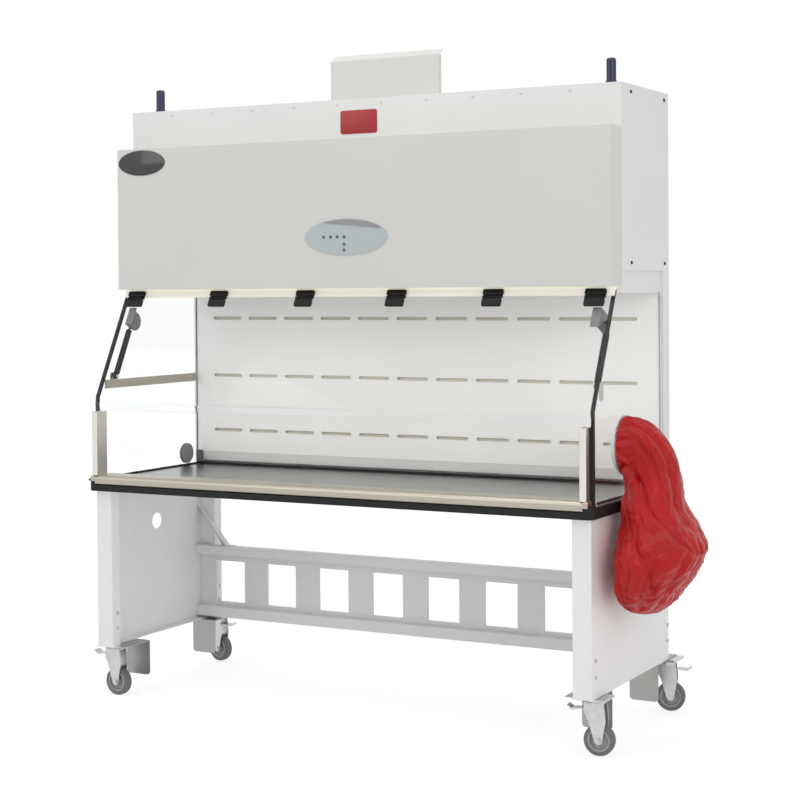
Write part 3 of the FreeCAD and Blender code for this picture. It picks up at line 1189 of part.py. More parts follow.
def blower_motor():
    """The motor inside the wheel, its shaft, and the strap that holds it in the inlet."""
    half = BLOWER_WIDTH / 2
    disc_face = -IMPELLER_WIDTH / 2
    body_start = disc_face + IMPELLER_DISC + 6.0
    body = rod(MOTOR_RADIUS, MOTOR_LENGTH, Vec(body_start, BLOWER_Y, BLOWER_Z), X_AXIS)
    shaft = rod(SHAFT_RADIUS, 30.0, Vec(body_start - 20.0, BLOWER_Y, BLOWER_Z), X_AXIS)
    tail = rod(SHAFT_RADIUS * 2, half - body_start, Vec(body_start, BLOWER_Y, BLOWER_Z), X_AXIS)
    strap = box(half, half + 4.0, BLOWER_Y - BLOWER_INLET_RADIUS - 15, BLOWER_Y + BLOWER_INLET_RADIUS + 15,
                BLOWER_Z - 20.0, BLOWER_Z + 20.0)
    return body.fuse(shaft).fuse(tail).fuse(strap).removeSplitter()


def caster_pieces():
    """The moving pieces of the four casters, by node name."""
    pieces = {}
    for name, side, y, guard_y, angle, pedal_side in CASTERS:
        parts = {"fork": fork(), "tread": tread(), "hub": hub(), "pedal": pedal(pedal_side)}
        for kind, shape in parts.items():
            pieces["%s_%s" % (kind, name)] = swivelled(shape, side, y, angle)
    return pieces


def build():
    """All pieces in the cabinet frame, by node name."""
    pieces = {
        "upper_case": upper_case(),
        "fascia_panel": fascia_panel(),
        "control_overlay": control_overlay(),
        "exhaust_shield": exhaust_shield(),
        "exhaust_filter": exhaust_filter(),
        "supply_filter": supply_filter(),
        "ceiling_plenum": ceiling_plenum(),
        "rear_plenum": rear_plenum(),
        "slotted_wall": slotted_wall(),
        "blower_housing": blower_housing(),
        "blower_impeller": blower_impeller(),
        "blower_motor": blower_motor(),
        "status_lamps": status_lamps(),
        "hinge_rail": hinge_rail(),
        "light_diffuser": light_diffuser(),
        "edge_gaskets": edge_gaskets(),
        "corner_posts": corner_posts(),
        "port_cover": port_cover(),
        "port_plug": port_plug(),
        "waste_ring": waste_ring(),
        "waste_bag": waste_bag(),
        "table_frame": table_frame(),
        "work_surface": work_surface(),
        "armrest": armrest(),
        "bumper": bumper(),
        "window_pane": window_pane(),
        "window_lip": window_lip(),
        "hinge_upper_leaves": hinge_upper_leaves(),
        "hinge_lower_leaves": hinge_lower_leaves(),
        "strut_brackets": strut_brackets(),
        "strut_mounts": strut_mounts(),
        "stretcher": stretcher(),
        "braces": braces(),
        "leg_bolts": leg_bolts(),
        "caster_plates": group([caster_plate(row[1], row[2]) for row in CASTERS]),
        "guard_plates": group([guard_plate(*row[1:4]) for row in CASTERS]),
    }
    for side in SIDES:
        label = SIDE_NAMES[side]
        pieces["leg_" + label] = leg(side)
        pieces["side_wall_" + label] = side_wall(side)
        pieces["strut_cylinder_" + label] = strut_cylinder(side)
        pieces["strut_rod_" + label] = strut_rod(side)
    pieces.update(caster_pieces())
    return pieces


def origin_shift(pieces):
    """The move that puts the middle of the whole object over the origin."""
    whole = FreeCAD.BoundBox()
    for shape in pieces.values():
        whole.add(shape.optimalBoundingBox(False))
    return Vec(-(whole.XMin + whole.XMax) / 2, -(whole.YMin + whole.YMax) / 2, 0)


def place_at_origin(pieces):
    """Move every piece by the same amount and return the move."""
    shift = origin_shift(pieces)
    for shape in pieces.values():
        shape.translate(shift)
    return shift


def export(pieces):
    """Write one file for each piece."""
    os.makedirs("parts", exist_ok=True)
    for name, shape in pieces.items():
        shape.exportStep("parts/%s.step" % name)


PIECES = build()
SHIFT = place_at_origin(PIECES)
export(PIECES)
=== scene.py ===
"""The look of the safety cabinet: finishes, small parts, the film bag, lights and camera."""
import json
import math

import bmesh
import bpy
from mathutils import Matrix, Vector, noise


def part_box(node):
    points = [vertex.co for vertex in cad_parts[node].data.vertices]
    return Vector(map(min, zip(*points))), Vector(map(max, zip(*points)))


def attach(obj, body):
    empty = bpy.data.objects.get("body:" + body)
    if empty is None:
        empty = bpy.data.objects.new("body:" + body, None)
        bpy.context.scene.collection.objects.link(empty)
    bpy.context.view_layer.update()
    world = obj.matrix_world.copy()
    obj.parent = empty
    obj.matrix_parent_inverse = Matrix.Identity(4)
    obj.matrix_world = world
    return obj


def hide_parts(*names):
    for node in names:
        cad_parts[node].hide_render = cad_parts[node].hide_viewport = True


MM = 0.001

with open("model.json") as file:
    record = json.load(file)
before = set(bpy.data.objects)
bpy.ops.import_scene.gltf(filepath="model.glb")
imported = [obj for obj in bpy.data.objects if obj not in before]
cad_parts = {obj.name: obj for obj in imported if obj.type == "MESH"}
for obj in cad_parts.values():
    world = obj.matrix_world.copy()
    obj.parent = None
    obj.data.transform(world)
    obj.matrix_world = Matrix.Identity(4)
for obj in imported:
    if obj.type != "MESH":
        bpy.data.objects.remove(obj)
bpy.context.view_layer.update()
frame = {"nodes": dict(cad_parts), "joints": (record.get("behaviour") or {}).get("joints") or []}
NODES = frame["nodes"]


def middle(node):
    """The middle of a CAD node's box."""
    low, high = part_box(node)
    return (low + high) / 2


# The cabinet's own zero: mid width, front of the legs, floor
HOME = Vector((middle("fascia_panel").x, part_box("leg_left")[0].y, 0.0))


def at(x, y, z):
    """A point given in millimetres from the cabinet's own zero."""
    return HOME + Vector((x, y, z)) * MM


def joint_place(name):
    """A point on a joint's axis."""
    for joint in frame["joints"]:
        if joint["name"] == name:
            return Vector(joint["pos_m"])
    raise KeyError(name)


# Shared surface effects, as node groups

def new_group(name, inputs, outputs):
    """An empty shader group with its sockets: (name, kind, value) rows and (name, kind) rows."""
    group = bpy.data.node_groups.new(name, "ShaderNodeTree")
    for label, kind, value in inputs:
        socket = group.interface.new_socket(label, in_out="INPUT", socket_type=kind)
        socket.default_value = value
    for label, kind in outputs:
        group.interface.new_socket(label, in_out="OUTPUT", socket_type=kind)
    return group


def add_node(tree, kind, column, row, operation=None, values=()):
    """A node in a column and a row of the tree, with (input, value) pairs for some of its inputs."""
    node = tree.nodes.new(kind)
    node.location = (200 * column, -200 * row)
    if operation:
        node.operation = operation
    for socket, value in values:
        node.inputs[socket].default_value = value
    return node


def uneven_tone():
    """Slow tone changes over a large surface: a colour in, a slightly uneven colour out."""
    group = new_group("Uneven tone",
                      [("Colour", "NodeSocketColor", (0.8, 0.8, 0.8, 1.0)), ("Scale", "NodeSocketFloat", 3.0),
                       ("Amount", "NodeSocketFloat", 0.05)],
                      [("Colour", "NodeSocketColor")])
    source = add_node(group, "NodeGroupInput", 0, 1)
    place = add_node(group, "ShaderNodeTexCoord", 0, 0)
    cloud = add_node(group, "ShaderNodeTexNoise", 1, 0, values=[("Detail", 4.0)])
    spread = add_node(group, "ShaderNodeMapRange", 2, 0, values=[("From Min", 0.3), ("From Max", 0.7)])
    lower = add_node(group, "ShaderNodeMath", 2, 1, "MULTIPLY", [(1, -1.0)])
    ratio = add_node(group, "ShaderNodeMath", 3, 0, "MULTIPLY_ADD", [(2, 1.0)])
    darker = add_node(group, "ShaderNodeHueSaturation", 4, 0)
    result = add_node(group, "NodeGroupOutput", 5, 0)
    for start, end in ((place.outputs["Object"], cloud.inputs["Vector"]),
                       (source.outputs["Scale"], cloud.inputs["Scale"]),
                       (cloud.outputs["Fac"], spread.inputs["Value"]),
                       (source.outputs["Amount"], lower.inputs[0]),
                       (spread.outputs["Result"], ratio.inputs[0]),
                       (lower.outputs["Value"], ratio.inputs[1]),
                       (ratio.outputs["Value"], darker.inputs["Value"]),
                       (source.outputs["Colour"], darker.inputs["Color"]),
                       (darker.outputs["Color"], result.inputs["Colour"])):
        group.links.new(start, end)
    return group


def fine_texture():
    """A fine bump and roughness change, stretched along an axis by the scale on each axis."""
    group = new_group("Fine texture",
                      [("Scale", "NodeSocketVector", (600.0, 600.0, 600.0)),
                       ("Strength", "NodeSocketFloat", 0.1), ("Height", "NodeSocketFloat", 0.0001),
                       ("Roughness", "NodeSocketFloat", 0.4), ("Spread", "NodeSocketFloat", 0.05)],
                      [("Normal", "NodeSocketVector"), ("Roughness", "NodeSocketFloat")])
    source = add_node(group, "NodeGroupInput", 0, 1)
    place = add_node(group, "ShaderNodeTexCoord", 0, 0)
    stretch = add_node(group, "ShaderNodeMapping", 1, 0)
    grain = add_node(group, "ShaderNodeTexNoise", 2, 0, values=[("Scale", 1.0), ("Detail", 3.0)])
    bump = add_node(group, "ShaderNodeBump", 3, 0)
    offset = add_node(group, "ShaderNodeMath", 3, 1, "SUBTRACT", [(1, 0.5)])
    rough = add_node(group, "ShaderNodeMath", 4, 1, "MULTIPLY_ADD")
    result = add_node(group, "NodeGroupOutput", 5, 0)
    for start, end in ((place.outputs["Object"], stretch.inputs["Vector"]),
                       (source.outputs["Scale"], stretch.inputs["Scale"]),
                       (stretch.outputs["Vector"], grain.inputs["Vector"]),
                       (grain.outputs["Fac"], bump.inputs["Height"]),
                       (source.outputs["Strength"], bump.inputs["Strength"]),
                       (source.outputs["Height"], bump.inputs["Distance"]),
                       (grain.outputs["Fac"], offset.inputs[0]),
                       (offset.outputs["Value"], rough.inputs[0]),
                       (source.outputs["Spread"], rough.inputs[1]),
                       (source.outputs["Roughness"], rough.inputs[2]),
                       (bump.outputs["Normal"], result.inputs["Normal"]),
                       (rough.outputs["Value"], result.inputs["Roughness"])):
        group.links.new(start, end)
    return group


UNEVEN_TONE = uneven_tone()
FINE_TEXTURE = fine_texture()


def new_material(name, **surface):
    """A material with its node tree and its Principled shader, whose single values are set on its sockets."""
    material = bpy.data.materials.new(name)
    material.use_nodes = True
    shader = material.node_tree.nodes["Principled BSDF"]
    for key, value in surface.items():
        shader.inputs[key.replace("_", " ")].default_value = value
    return material, material.node_tree, shader


def finish(name, colour, roughness, grain=(500.0, 500.0, 500.0), strength=0.1, height=0.0002, spread=0.06,
           tone_scale=3.0, tone=0.04, **surface):
    """A finish with an uneven tone and a fine texture."""
    material, tree, shader = new_material(name, **surface)
    tint = add_node(tree, "ShaderNodeGroup", -2, 0)
    tint.node_tree = UNEVEN_TONE
    for socket, value in (("Colour", (*colour, 1.0)), ("Scale", tone_scale), ("Amount", tone)):
        tint.inputs[socket].default_value = value
    texture = add_node(tree, "ShaderNodeGroup", -2, 2)
    texture.node_tree = FINE_TEXTURE
    for socket, value in (("Scale", grain), ("Strength", strength), ("Height", height),
                          ("Roughness", roughness), ("Spread", spread)):
        texture.inputs[socket].default_value = value
    tree.links.new(tint.outputs["Colour"], shader.inputs["Base Color"])
    tree.links.new(texture.outputs["Roughness"], shader.inputs["Roughness"])
    tree.links.new(texture.outputs["Normal"], shader.inputs["Normal"])
    return material


def clear_sheet(name, colour, roughness):
    """Clear plastic; lamps shine straight through it, so it casts no hard shadow."""
    material, tree, shader = new_material(name, Base_Color=(*colour, 1.0), Roughness=roughness, IOR=1.02,
                                          Transmission_Weight=1.0, Coat_Weight=0.2, Coat_Roughness=0.02)
    through = add_node(tree, "ShaderNodeBsdfTransparent", 0, 2, values=[("Color", (0.97, 0.98, 0.98, 1.0))])
    rays = add_node(tree, "ShaderNodeLightPath", 0, -2)
    mix = add_node(tree, "ShaderNodeMixShader", 2, 0)
    tree.links.new(rays.outputs["Is Shadow Ray"], mix.inputs["Fac"])
    tree.links.new(shader.outputs["BSDF"], mix.inputs[1])
    tree.links.new(through.outputs["BSDF"], mix.inputs[2])
    tree.links.new(mix.outputs["Shader"], tree.nodes["Material Output"].inputs["Surface"])
    return material


WHITE_PAINT = finish("White powder coat", (0.80, 0.80, 0.785), 0.42, height=0.00025, strength=0.12)
FASCIA_PAINT = finish("Pale grey powder coat", (0.67, 0.67, 0.645), 0.40, height=0.00025, strength=0.12)
STAND_PAINT = finish("Stand powder coat", (0.88, 0.88, 0.87), 0.40, height=0.00025, strength=0.12)
STRETCHER_PAINT = finish("Stretcher powder coat", (0.78, 0.79, 0.78), 0.42, height=0.00025, strength=0.12)
BRUSHED_X = finish("Steel brushed across", (0.46, 0.43, 0.37), 0.34, grain=(4.0, 900.0, 900.0), strength=0.25,
                   spread=0.12, Metallic=1.0)
WORK_STEEL = finish("Work surface steel", (0.30, 0.31, 0.30), 0.26, grain=(6.0, 700.0, 700.0), strength=0.2,
                    spread=0.10, Metallic=1.0)
BRUSHED_Z = finish("Steel brushed upright", (0.74, 0.72, 0.67), 0.30, grain=(900.0, 900.0, 6.0),
                   strength=0.25, spread=0.12, Metallic=1.0)
# The guard plates use the corner posts' brushed steel made much darker; this paints in the shade near the
# floor.
GUARD_STEEL_PAINTED_SHADE = finish("Guard plate steel darkened for painted shade", (0.36, 0.36, 0.35), 0.36, grain=(900.0, 900.0, 6.0), strength=0.25,
                     spread=0.12, Metallic=1.0)
REAR_STEEL = finish("Rear wall enamel", (0.88, 0.875, 0.86), 0.30, grain=(8.0, 500.0, 500.0), strength=0.05,
                    spread=0.05)
ZINC = finish("Zinc plate", (0.60, 0.61, 0.62), 0.33, grain=(220.0, 220.0, 220.0), strength=0.2, spread=0.2,
              tone=0.15, tone_scale=60.0, Metallic=1.0)
BLACK_RUBBER = finish("Black rubber", (0.010, 0.010, 0.011), 0.6, strength=0.2, Specular_IOR_Level=0.3)
TYRE_RUBBER = finish("Tyre rubber", (0.16, 0.165, 0.17), 0.6, strength=0.25, tone=0.1, tone_scale=30.0)
GREY_RUBBER = finish("Grey rubber", (0.22, 0.23, 0.24), 0.6, strength=0.2)
HUB_PLASTIC = finish("Hub plastic", (0.36, 0.37, 0.38), 0.45, strength=0.15, tone=0.08, tone_scale=30.0)
BLACK_METAL = finish("Black coated metal", (0.010, 0.010, 0.011), 0.40, strength=0.12,
                     Specular_IOR_Level=0.22)
GREY_METAL = finish("Grey coated metal", (0.14, 0.143, 0.147), 0.38, strength=0.1)
BLUE_LENS = finish("Blue lens", (0.002, 0.004, 0.05), 0.25, strength=0.02, Coat_Weight=0.2)
OVERLAY_FILM = finish("Overlay film", (0.47, 0.52, 0.53), 0.32, strength=0.05)
OVERLAY_SHADE = finish("Overlay shade", (0.26, 0.27, 0.27), 0.35, strength=0.05)
DIFFUSER = finish("Lamp diffuser", (0.92, 0.88, 0.74), 0.4, strength=0.03,
                  Emission_Color=(1.0, 0.95, 0.8, 1.0), Emission_Strength=2.6)
FILTER_PAPER = finish("Filter paper", (0.86, 0.86, 0.83), 0.8, grain=(900.0, 900.0, 900.0), strength=0.4)
PALE_PLASTIC = finish("Pale plastic", (0.72, 0.74, 0.74), 0.38, strength=0.05)
FAN_METAL = finish("Fan sheet metal", (0.62, 0.63, 0.64), 0.35, grain=(300.0, 300.0, 300.0), strength=0.15,
                   Metallic=1.0)
RED_FILM = finish("Red film", (0.50, 0.007, 0.009), 0.38, grain=(30.0, 30.0, 20.0), strength=0.9,
                  height=0.012, tone=0.24, tone_scale=9.0, Specular_IOR_Level=0.22, Coat_Weight=0.06,
                  Coat_Roughness=0.2)
SLOT_SHADE = finish("Slot shade", (0.66, 0.62, 0.54), 0.5, strength=0.05)
# The hinge rail's cream enamel has a faint painted glow, so the rail looks brighter than the lamps make it;
# it is no lamp.
CREAM_ENAMEL_PAINTED_GLOW = finish("Cream enamel with painted glow", (0.90, 0.88, 0.78), 0.35, strength=0.05,
                      Emission_Color=(1.0, 0.96, 0.84, 1.0), Emission_Strength=0.2)
TRIM_GREY = finish("Dark grey trim", (0.10, 0.105, 0.11), 0.45, strength=0.1)
EDGE_GREY = finish("Cut plastic edge", (0.30, 0.33, 0.35), 0.3, strength=0.05)
NOTICE_RED = finish("Notice plate red", (0.38, 0.02, 0.025), 0.35, strength=0.05)
BADGE_BLACK = finish("Badge black", (0.012, 0.014, 0.016), 0.2, strength=0.03, Coat_Weight=0.5)
CLEAR_WALL = clear_sheet("Clear side wall", (0.985, 0.99, 0.99), 0.03)
CLEAR_WINDOW = clear_sheet("Clear window", (0.98, 0.985, 0.99), 0.02)

FINISHES = {
    "upper_case": WHITE_PAINT, "fascia_panel": FASCIA_PAINT, "exhaust_shield": FASCIA_PAINT,
    "ceiling_plenum": WHITE_PAINT, "rear_plenum": WHITE_PAINT, "table_frame": WHITE_PAINT,
    "leg_left": STAND_PAINT, "leg_right": STAND_PAINT,
    "stretcher": STRETCHER_PAINT, "braces": STRETCHER_PAINT,
    "slotted_wall": REAR_STEEL, "work_surface": WORK_STEEL, "armrest": BRUSHED_X, "corner_posts": BRUSHED_Z,
    "strut_mounts": BRUSHED_X, "guard_plates": GUARD_STEEL_PAINTED_SHADE, "leg_bolts": ZINC, "caster_plates": ZINC,
    "exhaust_filter": FILTER_PAPER, "supply_filter": FILTER_PAPER, "blower_housing": FAN_METAL,
    "blower_impeller": FAN_METAL, "blower_motor": GREY_METAL, "status_lamps": BLUE_LENS,
    "hinge_rail": CREAM_ENAMEL_PAINTED_GLOW, "light_diffuser": DIFFUSER, "control_overlay": OVERLAY_FILM,
    "edge_gaskets": BLACK_RUBBER, "bumper": BLACK_RUBBER, "port_plug": GREY_RUBBER, "port_cover": CLEAR_WALL,
    "waste_ring": PALE_PLASTIC, "waste_bag": RED_FILM, "hinge_upper_leaves": BLACK_METAL,
    "hinge_lower_leaves": BLACK_METAL, "strut_brackets": GREY_METAL, "side_wall_left": CLEAR_WALL,
    "side_wall_right": CLEAR_WALL, "window_pane": CLEAR_WINDOW, "window_lip": CLEAR_WINDOW,
    "strut_cylinder_left": BLACK_METAL, "strut_cylinder_right": BLACK_METAL, "strut_rod_left": BLACK_METAL,
    "strut_rod_right": BLACK_METAL,
}
CASTER_FINISHES = {"fork": ZINC, "tread": TYRE_RUBBER, "hub": HUB_PLASTIC, "pedal": ZINC}


# Making pieces

def take_piece(name):
    """Name the new primitive and put its place, turn and size into its mesh."""
    piece = bpy.context.active_object
    piece.name = name
    piece.data.name = name
    bpy.ops.object.transform_apply(location=True, rotation=True, scale=True)
    return piece


def add_block(name, low, high):
    """A block between two corners, to be shaped further."""
    bpy.ops.object.select_all(action="DESELECT")
    bpy.ops.mesh.primitive_cube_add(size=1.0, location=(low + high) / 2)
    bpy.context.active_object.scale = high - low
    return take_piece(name)


def add_drum(name, foot, axis, radius, height, vertices=48, length=1.0):
    """A drum that stands on a foot point along an axis; length stretches it along X."""
    bpy.ops.object.select_all(action="DESELECT")
    turn = Vector(axis).to_track_quat("Z", "Y")
    bpy.ops.mesh.primitive_cylinder_add(vertices=vertices, radius=radius, depth=height,
                                        location=foot + Vector(axis) * height / 2, rotation=turn.to_euler())
    piece = take_piece(name)
    if length != 1.0:
        bpy.ops.object.mode_set(mode="EDIT")
        bpy.ops.mesh.select_all(action="SELECT")
        bpy.ops.transform.resize(value=(length, 1.0, 1.0), center_override=foot)
        bpy.ops.object.mode_set(mode="OBJECT")
    return piece


def select_parts(piece, kind, test):
    """Open a piece in edit mode and select only those of its parts, EDGE or FACE, that pass the test."""
    bpy.ops.object.select_all(action="DESELECT")
    piece.select_set(True)
    bpy.context.view_layer.objects.active = piece
    bpy.ops.object.mode_set(mode="EDIT")
    bpy.ops.mesh.select_mode(type=kind)
    bpy.ops.mesh.select_all(action="DESELECT")
    mesh = bmesh.from_edit_mesh(piece.data)
    for part in mesh.edges if kind == "EDGE" else mesh.faces:
        part.select = test(part)
    bmesh.update_edit_mesh(piece.data)


def bevel_edges(piece, test, width, segments=3):
    """Round the edges that pass the test."""
    select_parts(piece, "EDGE", test)
    bpy.ops.mesh.bevel(offset=width, segments=segments, affect="EDGES")
    bpy.ops.object.mode_set(mode="OBJECT")


def repeat(piece, moves):
    """Copies of a piece at each move, joined into it; the piece itself is moved by the first."""
    copies = []
    for move in moves[1:]:
        copy = bpy.data.objects.new(piece.name, piece.data.copy())
        bpy.context.collection.objects.link(copy)
        copy.data.transform(Matrix.Translation(move))
        copies.append(copy)
    piece.data.transform(Matrix.Translation(moves[0]))
    bpy.ops.object.select_all(action="DESELECT")
    for copy in copies:
        copy.select_set(True)
    piece.select_set(True)
    bpy.context.view_layer.objects.active = piece
    if copies:
        bpy.ops.object.join()
    return piece


def dress(piece, body, material, angle=35.0):
    """Shade a finished piece, give it its finish and let it ride on its body."""
    piece.data.materials.clear()
    piece.data.materials.append(material)
    bpy.ops.object.select_all(action="DESELECT")
    piece.select_set(True)
    bpy.context.view_layer.objects.active = piece
    bpy.ops.object.shade_smooth_by_angle(angle=math.radians(angle))
    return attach(piece, body)


# The waste bag

# Middle X, Y and Z, half width along Y, half depth, and the slice's lean from upright
BAG_RINGS = (
    (981.5, 274, 975, 87.5, 87.5, 0), (985, 274, 975, 94, 94, 0), (995, 274, 972, 97, 95, 5),
    (1010, 274, 967, 100, 95, 12), (1036, 274, 948, 104, 96, 30), (1064, 275, 900, 112, 91, 55),
    (1076, 277, 850, 126, 86, 75), (1082, 268, 792, 148, 90, 90), (1099, 257, 742, 167, 103, 90),
    (1113, 240, 702, 184, 122, 90), (1123, 222, 665, 199, 134, 90), (1122, 208, 630, 201, 132, 90),
    (1112, 210, 590, 198, 122, 90), (1098, 216, 550, 194, 108, 90), (1086, 228, 512, 178, 92, 90),
    (1078, 236, 480, 148, 72, 90), (1072, 238, 455, 104, 48, 90), (1070, 238, 441, 50, 22, 90),
)
BAG_COLUMNS = 176
BAG_ROWS = 132
PLEAT_COUNT = 23
PLEAT_DEPTH = 3.6
# Size of the random folds in mm, their height near the collar, and what is added to it low on the bag
BAG_FOLDS = ((95.0, 4.0, 8.0), (38.0, 3.0, 5.0), (15.0, 1.0, 1.4))
FOLD_MIDDLE = 0.45
# Start and end angle, start and end along the bag, depth in mm and width in degrees
BAG_CREASES = (
    (222, 112, 0.16, 0.60, 13, 7), (232, 146, 0.34, 0.78, 11, 6), (226, 204, 0.32, 0.88, 9, 6),
    (196, 176, 0.10, 0.44, 6, 5), (170, 132, 0.06, 0.38, 7, 6), (128, 96, 0.08, 0.52, 9, 8),
    (186, 196, 0.50, 0.92, 8, 7), (160, 170, 0.62, 0.94, 7, 7), (120, 128, 0.62, 0.92, 10, 8),
    (246, 240, 0.20, 0.90, 8, 8), (60, 78, 0.12, 0.70, 10, 8), (20, 38, 0.14, 0.80, 10, 9),
    (340, 352, 0.14, 0.86, 9, 8), (300, 312, 0.18, 0.84, 8, 8), (94, 88, 0.55, 0.90, 12, 9),
)


def smooth_row(rows, place):
    """Values between the rows, on a smooth curve through them."""
    count = len(rows) - 1
    index = min(int(place * count), count - 1)
    t = place * count - index
    p = [rows[min(max(index + k, 0), count)] for k in (-1, 0, 1, 2)]
    return [0.5 * (2 * b + (c - a) * t + (2 * a - 5 * b + 4 * c - d) * t * t
                   + (3 * b - a - 3 * c + d) * t ** 3)
            for a, b, c, d in zip(*p)]


def ramp(place, start, slope):
    """0 up to a start along the bag, and then rising to 1."""
    return min(1.0, max(0.0, (place - start) * slope))


def crease_depth(angle, place):
    """How far the film is pulled in by its creases, in mm, at an angle in degrees along the bag."""
    total = 0.0
    for start, end, low, high, depth, width in BAG_CREASES:
        if not low - 0.05 < place < high + 0.05:
            continue
        along = (place - low) / (high - low)
        fade = max(0.0, min(1.0, 6 * (along + 0.1), 6 * (1.1 - along)))
        off = (angle - (start + (end - start) * along) + 180) % 360 - 180
        valley = 1.2 * math.exp(-abs(off) / (width * 0.5))
        ridge = 0.55 * math.exp(-((off - 2.2 * width) / (1.5 * width)) ** 2)
        total += fade * depth * (valley - ridge)
    return total


def crumple(point, size):
    """Sharp random folds of the film, out and in about their middle."""
    return 1.0 - abs(noise.noise(point / size)) * 2.0 - FOLD_MIDDLE


def bag_point(column, row):
    """One point of the film, in mm from the cabinet's zero."""
    place = row / (BAG_ROWS - 1)
    x, y, z, half_y, half_v, lean = smooth_row(BAG_RINGS, place)
    turn = 2 * math.pi * column / BAG_COLUMNS
    lean = math.radians(lean)
    across = Vector((math.sin(lean), 0.0, math.cos(lean)))
    outward = Vector((0.0, 1.0, 0.0)) * math.cos(turn) * half_y + across * math.sin(turn) * half_v
    point = Vector((x, y, z)) + outward
    free = ramp(place, 0.05, 6.0)
    low = ramp(place, 0.35, 2.0)
    gathered = 1.0 - ramp(place, 0.0, 3.2)
    pleats = gathered * PLEAT_DEPTH * math.sin(PLEAT_COUNT * turn + 3 * math.sin(3 * turn))
    folds = sum((height + more * low) * crumple(point, size) for size, height, more in BAG_FOLDS)
    pull = crease_depth(math.degrees(turn), place)
    swell = free * (folds - pull) + pleats * ramp(place, 0.0, 12.0)
    return point + outward.normalized() * swell


def film_bag():
    """The red film bag, gathered over the waste port's collar and sagging below it."""
    points = [at(*bag_point(column, row)) for row in range(BAG_ROWS) for column in range(BAG_COLUMNS)]
    faces = []
    for row in range(BAG_ROWS - 1):
        for column in range(BAG_COLUMNS):
            beside = (column + 1) % BAG_COLUMNS
            faces.append((row * BAG_COLUMNS + column, row * BAG_COLUMNS + beside,
                          (row + 1) * BAG_COLUMNS + beside, (row + 1) * BAG_COLUMNS + column))
    last = (BAG_ROWS - 1) * BAG_COLUMNS
    tip = sum((points[last + column] for column in range(BAG_COLUMNS)), Vector()) / BAG_COLUMNS
    points.append(tip - Vector((0, 0, 2 * MM)))
    lowest = len(points) - 1
    faces += [(last + column, last + (column + 1) % BAG_COLUMNS, lowest) for column in range(BAG_COLUMNS)]
    mesh = bpy.data.meshes.new("film_bag")
    mesh.from_pydata(points, [], faces)
    bag = bpy.data.objects.new("film_bag", mesh)
    bpy.context.collection.objects.link(bag)
    select_parts(bag, "FACE", lambda face: True)
    bpy.ops.mesh.normals_make_consistent(inside=False)
    bpy.ops.object.mode_set(mode="OBJECT")
    wall = bag.modifiers.new("Film", "SOLIDIFY")
    wall.thickness = 0.5 * MM
    bpy.ops.object.modifier_apply(modifier=wall.name)
    dress(bag, "cabinet", RED_FILM, angle=80.0)
    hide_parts("waste_bag")


# Plates, screws and marks

FIRST_HINGE_X = -916.25
HINGE_PITCH = 366.5
WINDOW_TILT = 27.0


def runs_along_y(edge):
    """Whether an edge runs from front to back."""
    return abs((edge.verts[0].co - edge.verts[1].co).normalized().y) > 0.99


def on_front(front):
    """A test for the edges of the face at a Y."""
    return lambda edge: all(abs(v.co.y - front) < 1e-6 for v in edge.verts)


def is_rim(edge):
    """Whether an edge is the sharp rim of a drum."""
    return len(edge.link_faces) == 2 and abs(edge.link_faces[0].normal.dot(edge.link_faces[1].normal)) < 0.5


def pan_screw(name, foot, axis, radius):
    """A pan-head screw with a rounded rim and a socket in its head."""
    axis = Vector(axis)
    head = add_drum(name, foot, axis, radius, radius * 0.6, vertices=20)
    top = foot + axis * radius * 0.6
    bevel_edges(head, lambda edge: all((v.co - top).dot(axis) > -1e-6 for v in edge.verts), radius * 0.35)
    crown = radius * radius * 0.5
    select_parts(head, "FACE", lambda face: face.normal.dot(axis) > 0.99 and face.calc_area() > crown)
    bpy.ops.mesh.inset(thickness=radius * 0.25)
    bpy.ops.mesh.extrude_region_move(TRANSFORM_OT_translate={"value": axis * -radius * 0.3})
    bpy.ops.object.mode_set(mode="OBJECT")
    return head


def screw_row(name, places, axis, radius, material, body="cabinet"):
    """The same screw at several places, as one piece."""
    screw = pan_screw(name, Vector((0, 0, 0)), axis, radius)
    repeat(screw, places)
    return dress(screw, body, material)


def case_screws():
    """Screws along the roof's front edge, on both sides and on the fascia's ends."""
    roof = [at(-801 + 178 * i, 254, 2142) for i in range(10)]
    screw_row("roof_edge_screws", roof, (0, -1, 0), 4.5 * MM, ZINC)
    for side, label in ((-1, "left"), (1, "right")):
        places = [at(side * 979, y, z) for y, z in ((344, 1572), (663, 1572), (344, 2135), (663, 2135))]
        screw_row("case_screws_" + label, places, (side, 0, 0), 6.0 * MM, BLACK_METAL)


def port_screws():
    """Screws round the waste port's flange, on the chamber's side of the wall."""
    places = []
    for i in range(6):
        turn = math.radians(30 + 60 * i)
        places.append(at(979, 274 + 92 * math.cos(turn), 975 + 92 * math.sin(turn)))
    screw_row("port_screws", places, (1, 0, 0), 3.5 * MM, ZINC)


def hinge_caps():
    """Moulded caps over both leaves of each hinge, flush with the knuckle."""
    axis = joint_place("window_hinge")
    places = [Vector((HOME.x + (FIRST_HINGE_X + HINGE_PITCH * i) * MM, axis.y, axis.z)) for i in range(6)]
    for name, body, low, high, half in (("upper_hinge_caps", "cabinet", 5.8, 27.0, 37.0),
                                        ("lower_hinge_caps", "window", -35.0, -6.2, 35.0)):
        cap = add_block(name, Vector((-half, -6.5, low)) * MM, Vector((half, 2.2, high)) * MM)
        bevel_edges(cap, runs_along_y, 5.0 * MM, 4)
        bevel_edges(cap, lambda edge: all(v.co.y < -6.0 * MM for v in edge.verts), 1.8 * MM, 3)
        cap.data.transform(Matrix.Rotation(math.radians(-WINDOW_TILT), 4, "X"))
        repeat(cap, places)
        dress(cap, body, BLACK_METAL)


def rounded_plate(name, low, high, corner, edge):
    """An upright plate that faces the front, with round corners and a soft front edge."""
    plate = add_block(name, low, high)
    bevel_edges(plate, runs_along_y, corner, 6)
    bevel_edges(plate, on_front(low.y), edge, 2)
    return plate


